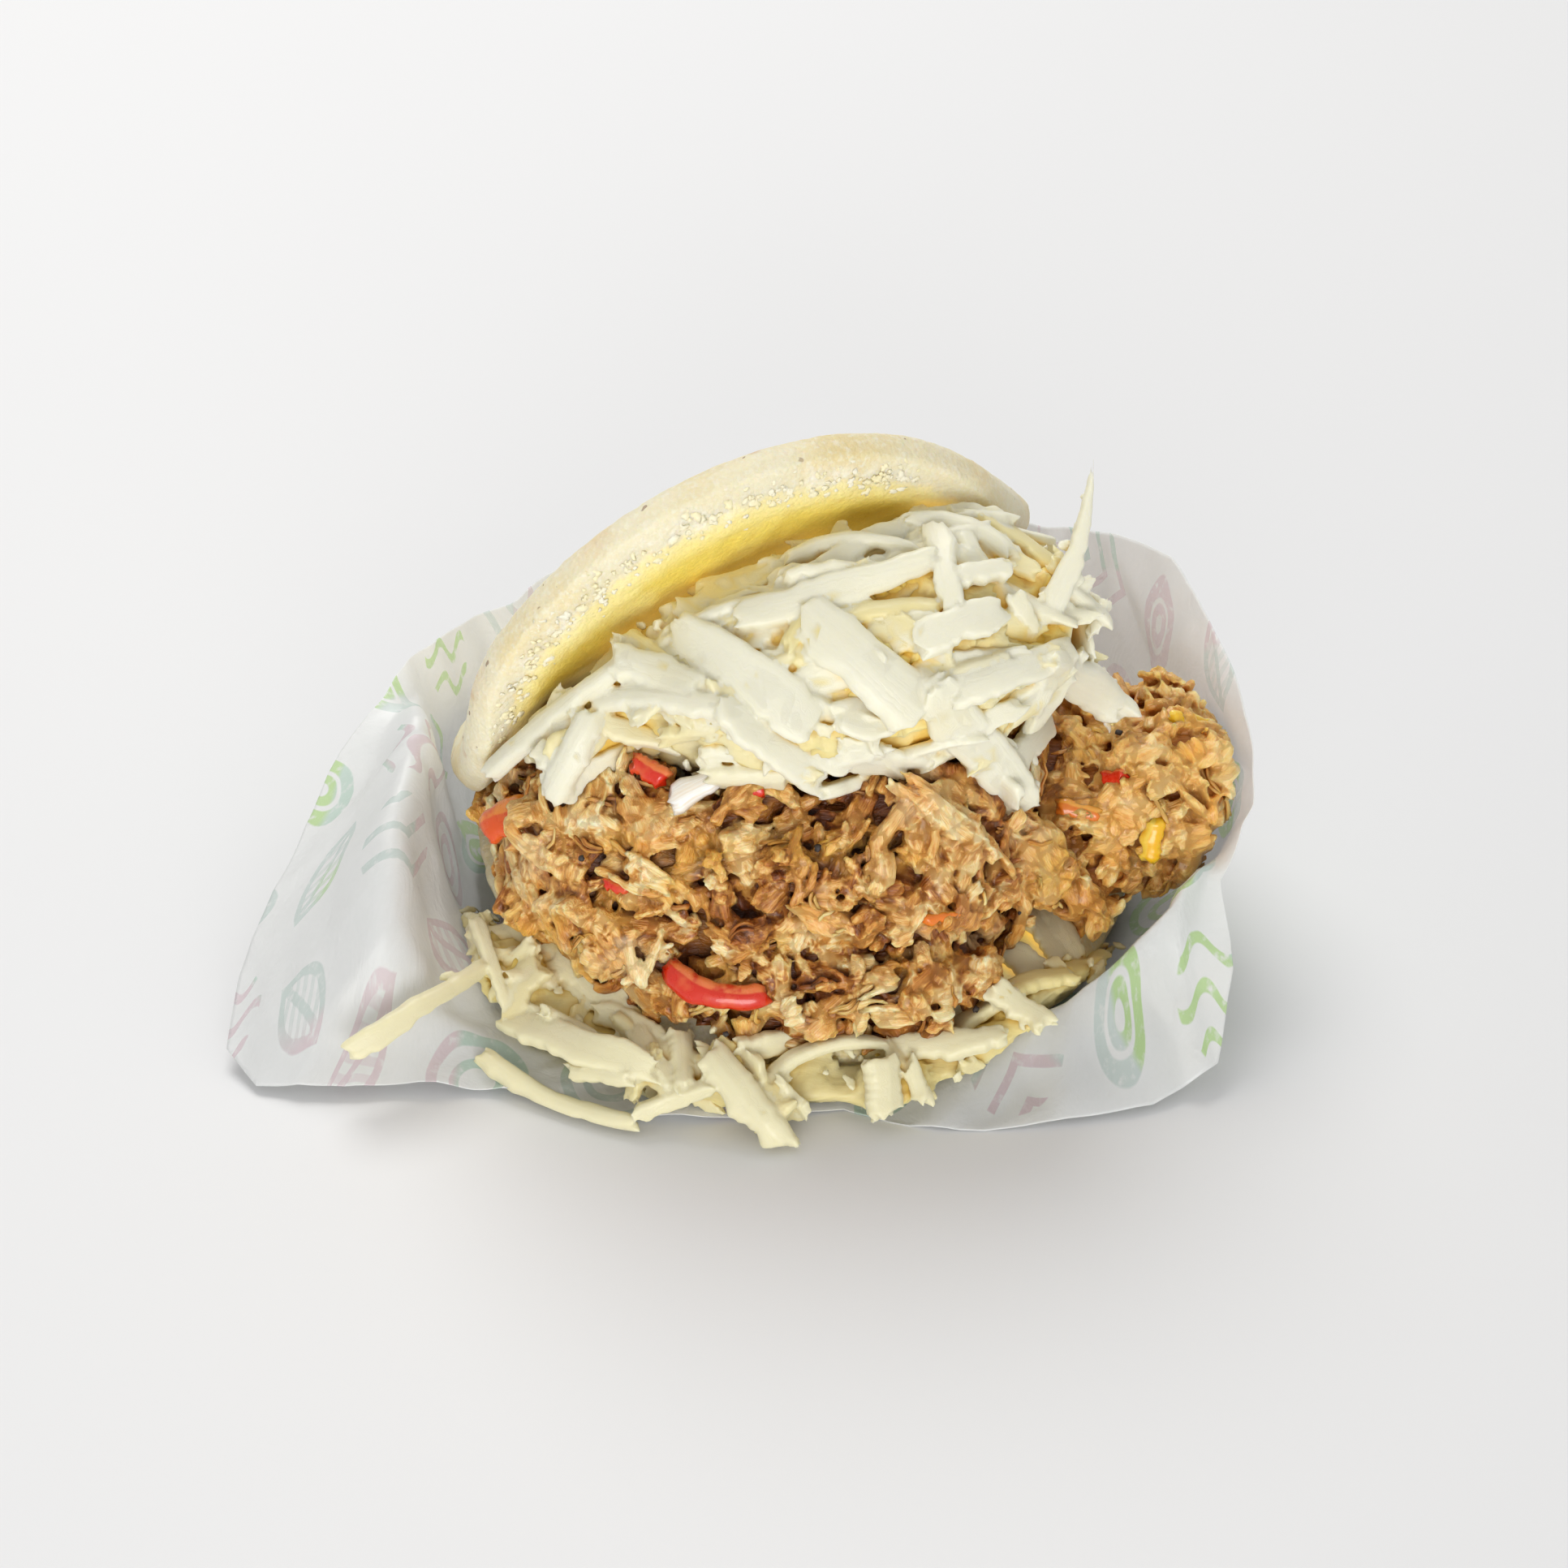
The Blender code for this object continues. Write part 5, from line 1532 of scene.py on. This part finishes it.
def make_cheese():
    """Both heaps: a core that replaces the solid, and the shreds on it in one skin."""
    finishes = (
        cheese_finish("white_cheese", rgb(232, 229, 208), rgb(231, 215, 144),
                      rgb(245, 202, 70), rgb(238, 214, 144)),
        # a darker, yellower copy of the cheese for the lower heap: painted shade, as that heap
        # lies in shade
        cheese_finish("white_cheese_painted_shade_below", rgb(228, 221, 184), rgb(223, 204, 130),
                      rgb(222, 182, 68), rgb(240, 190, 96)),
    )
    for finish, (name, node, rows, count, crumbs, runs, stain, inset) in zip(finishes, HEAPS):
        skin = search_tree(node)
        # the core's low tone makes it warm yellow: painted warm shade in the gaps between the
        # shreds
        body = core(node, CORE_GRID, inset, CORE_LUMPS, 0.3, 0.2)
        body.build(finish, "white_cheese", node, skin=skin)
        batch = shreds("cheese_shreds_" + name, node, rows, count, crumbs, runs, stain,
                       SEED + len(node))
        batch.build(finish, "white_cheese", skin=skin)


def topping(sizes, draw, lift):
    """A cut piece that lies on the meat."""
    across, up, turn, length, width, bend, pointed, thickness = sizes
    ground = search_tree("pulled_pork", "pepper_strip_front", "pepper_piece_left",
                         "pepper_piece_upper", "pepper_piece_right", "onion_piece")
    line, facing = laid(ground, across, up, turn, length, bend, lift, 24)
    return ribbon(line, facing, width, thickness, draw, pointed, 14, 0.3, 0.25, 0.3, 0.7, 0.5)


def make_toppings():
    """The peppers, the onion, their small bits and the grains of black pepper."""
    draw = random.Random(SEED + 3)
    finishes = {
        "red": (pepper_finish("red_pepper", rgb(212, 44, 18), rgb(240, 140, 78)), "red_pepper"),
        "orange": (pepper_finish("orange_pepper", rgb(222, 84, 18), rgb(240, 150, 50)),
                   "orange_pepper"),
        "amber": (pepper_finish("amber_pepper", rgb(226, 122, 34), rgb(244, 178, 76)),
                  "orange_pepper"),
        "yellow": (pepper_finish("yellow_pepper", rgb(240, 186, 20), rgb(248, 214, 90)),
                   "yellow_pepper"),
        "onion": (onion_finish(), "onion"),
    }
    for node, look, sizes in TOPPINGS:
        batch = Batch(node + "_cut")
        batch.add(*topping(sizes, draw, TOPPING_LIFT), 0.5)
        batch.build(*finishes[look], node)
    for look in ("red", "orange", "yellow"):
        batch = Batch("pepper_bits_" + look)
        for kind, sizes in SMALL_BITS:
            if kind == look:
                batch.add(*topping(sizes, draw, BIT_LIFT), 0.5)
        batch.build(*finishes["amber" if look == "orange" else look])
    ground = search_tree("pulled_pork", "cheese_base")
    grains = Batch("black_pepper_grains")
    for across, up in PEPPERCORN_SPOTS:
        hit, normal, _, _ = ground.ray_cast(VIEW_EYE, view_ray(across, up))
        if hit:
            size = draw.uniform(0.5, 0.75)
            grains.add(*chunk(2, hit + normal * PEPPERCORN_LIFT, normal, tangent(draw, normal),
                              (size, size, size * 0.8), draw, 0.5, 0.2), 0.5)
    grains.build(peppercorn_finish(), "pulled_pork")


def make_table():
    corners = [(x * TABLE_HALF, y * TABLE_HALF, 0)
               for x, y in ((-1, -1), (1, -1), (1, 1), (-1, 1))]
    mesh = new_mesh("table", corners, [(0, 1, 2, 3)])
    mesh.materials.append(table_finish())
    table = linked("table", mesh)


def add_lamp(name, place, size, power, colour=(1.0, 1.0, 1.0)):
    lamp = bpy.data.lights.new(name, "AREA")
    lamp.shape = "DISK"
    lamp.size = size
    lamp.energy = power
    lamp.color = colour
    holder = linked(name, lamp)
    holder.location = place
    holder.rotation_euler = (LAMP_AIM - Vector(place)).to_track_quat("-Z", "Y").to_euler()


def light_and_camera():
    add_lamp(*WINDOW)
    add_lamp(*FRONT_FILL)
    world = bpy.data.worlds.new("studio")
    world.use_nodes = True
    background = world.node_tree.nodes["Background"]
    background.inputs["Color"].default_value = (1.0, 1.0, 1.0, 1.0)
    background.inputs["Strength"].default_value = STUDIO_STRENGTH
    scene = bpy.context.scene
    scene.world = world
    scene.view_settings.view_transform = "Standard"
    camera = linked("camera", bpy.data.cameras.new("camera"))
    camera.data.lens = VIEW_LENS
    camera.data.sensor_width = VIEW_SENSOR
    camera.location = VIEW_EYE * MM
    camera.rotation_euler = VIEW_AHEAD.to_track_quat("-Z", "Y").to_euler()
    scene.camera = camera


make_table()
light_and_camera()
make_paper()
make_bread()
make_crumbs()
make_meat()
make_cheese()
make_toppings()
mark_open([piece for piece in bpy.context.scene.objects
           if piece.name.startswith(("bread_halves", "pork", "cheese_shreds"))
           or piece.name.endswith("_core")])
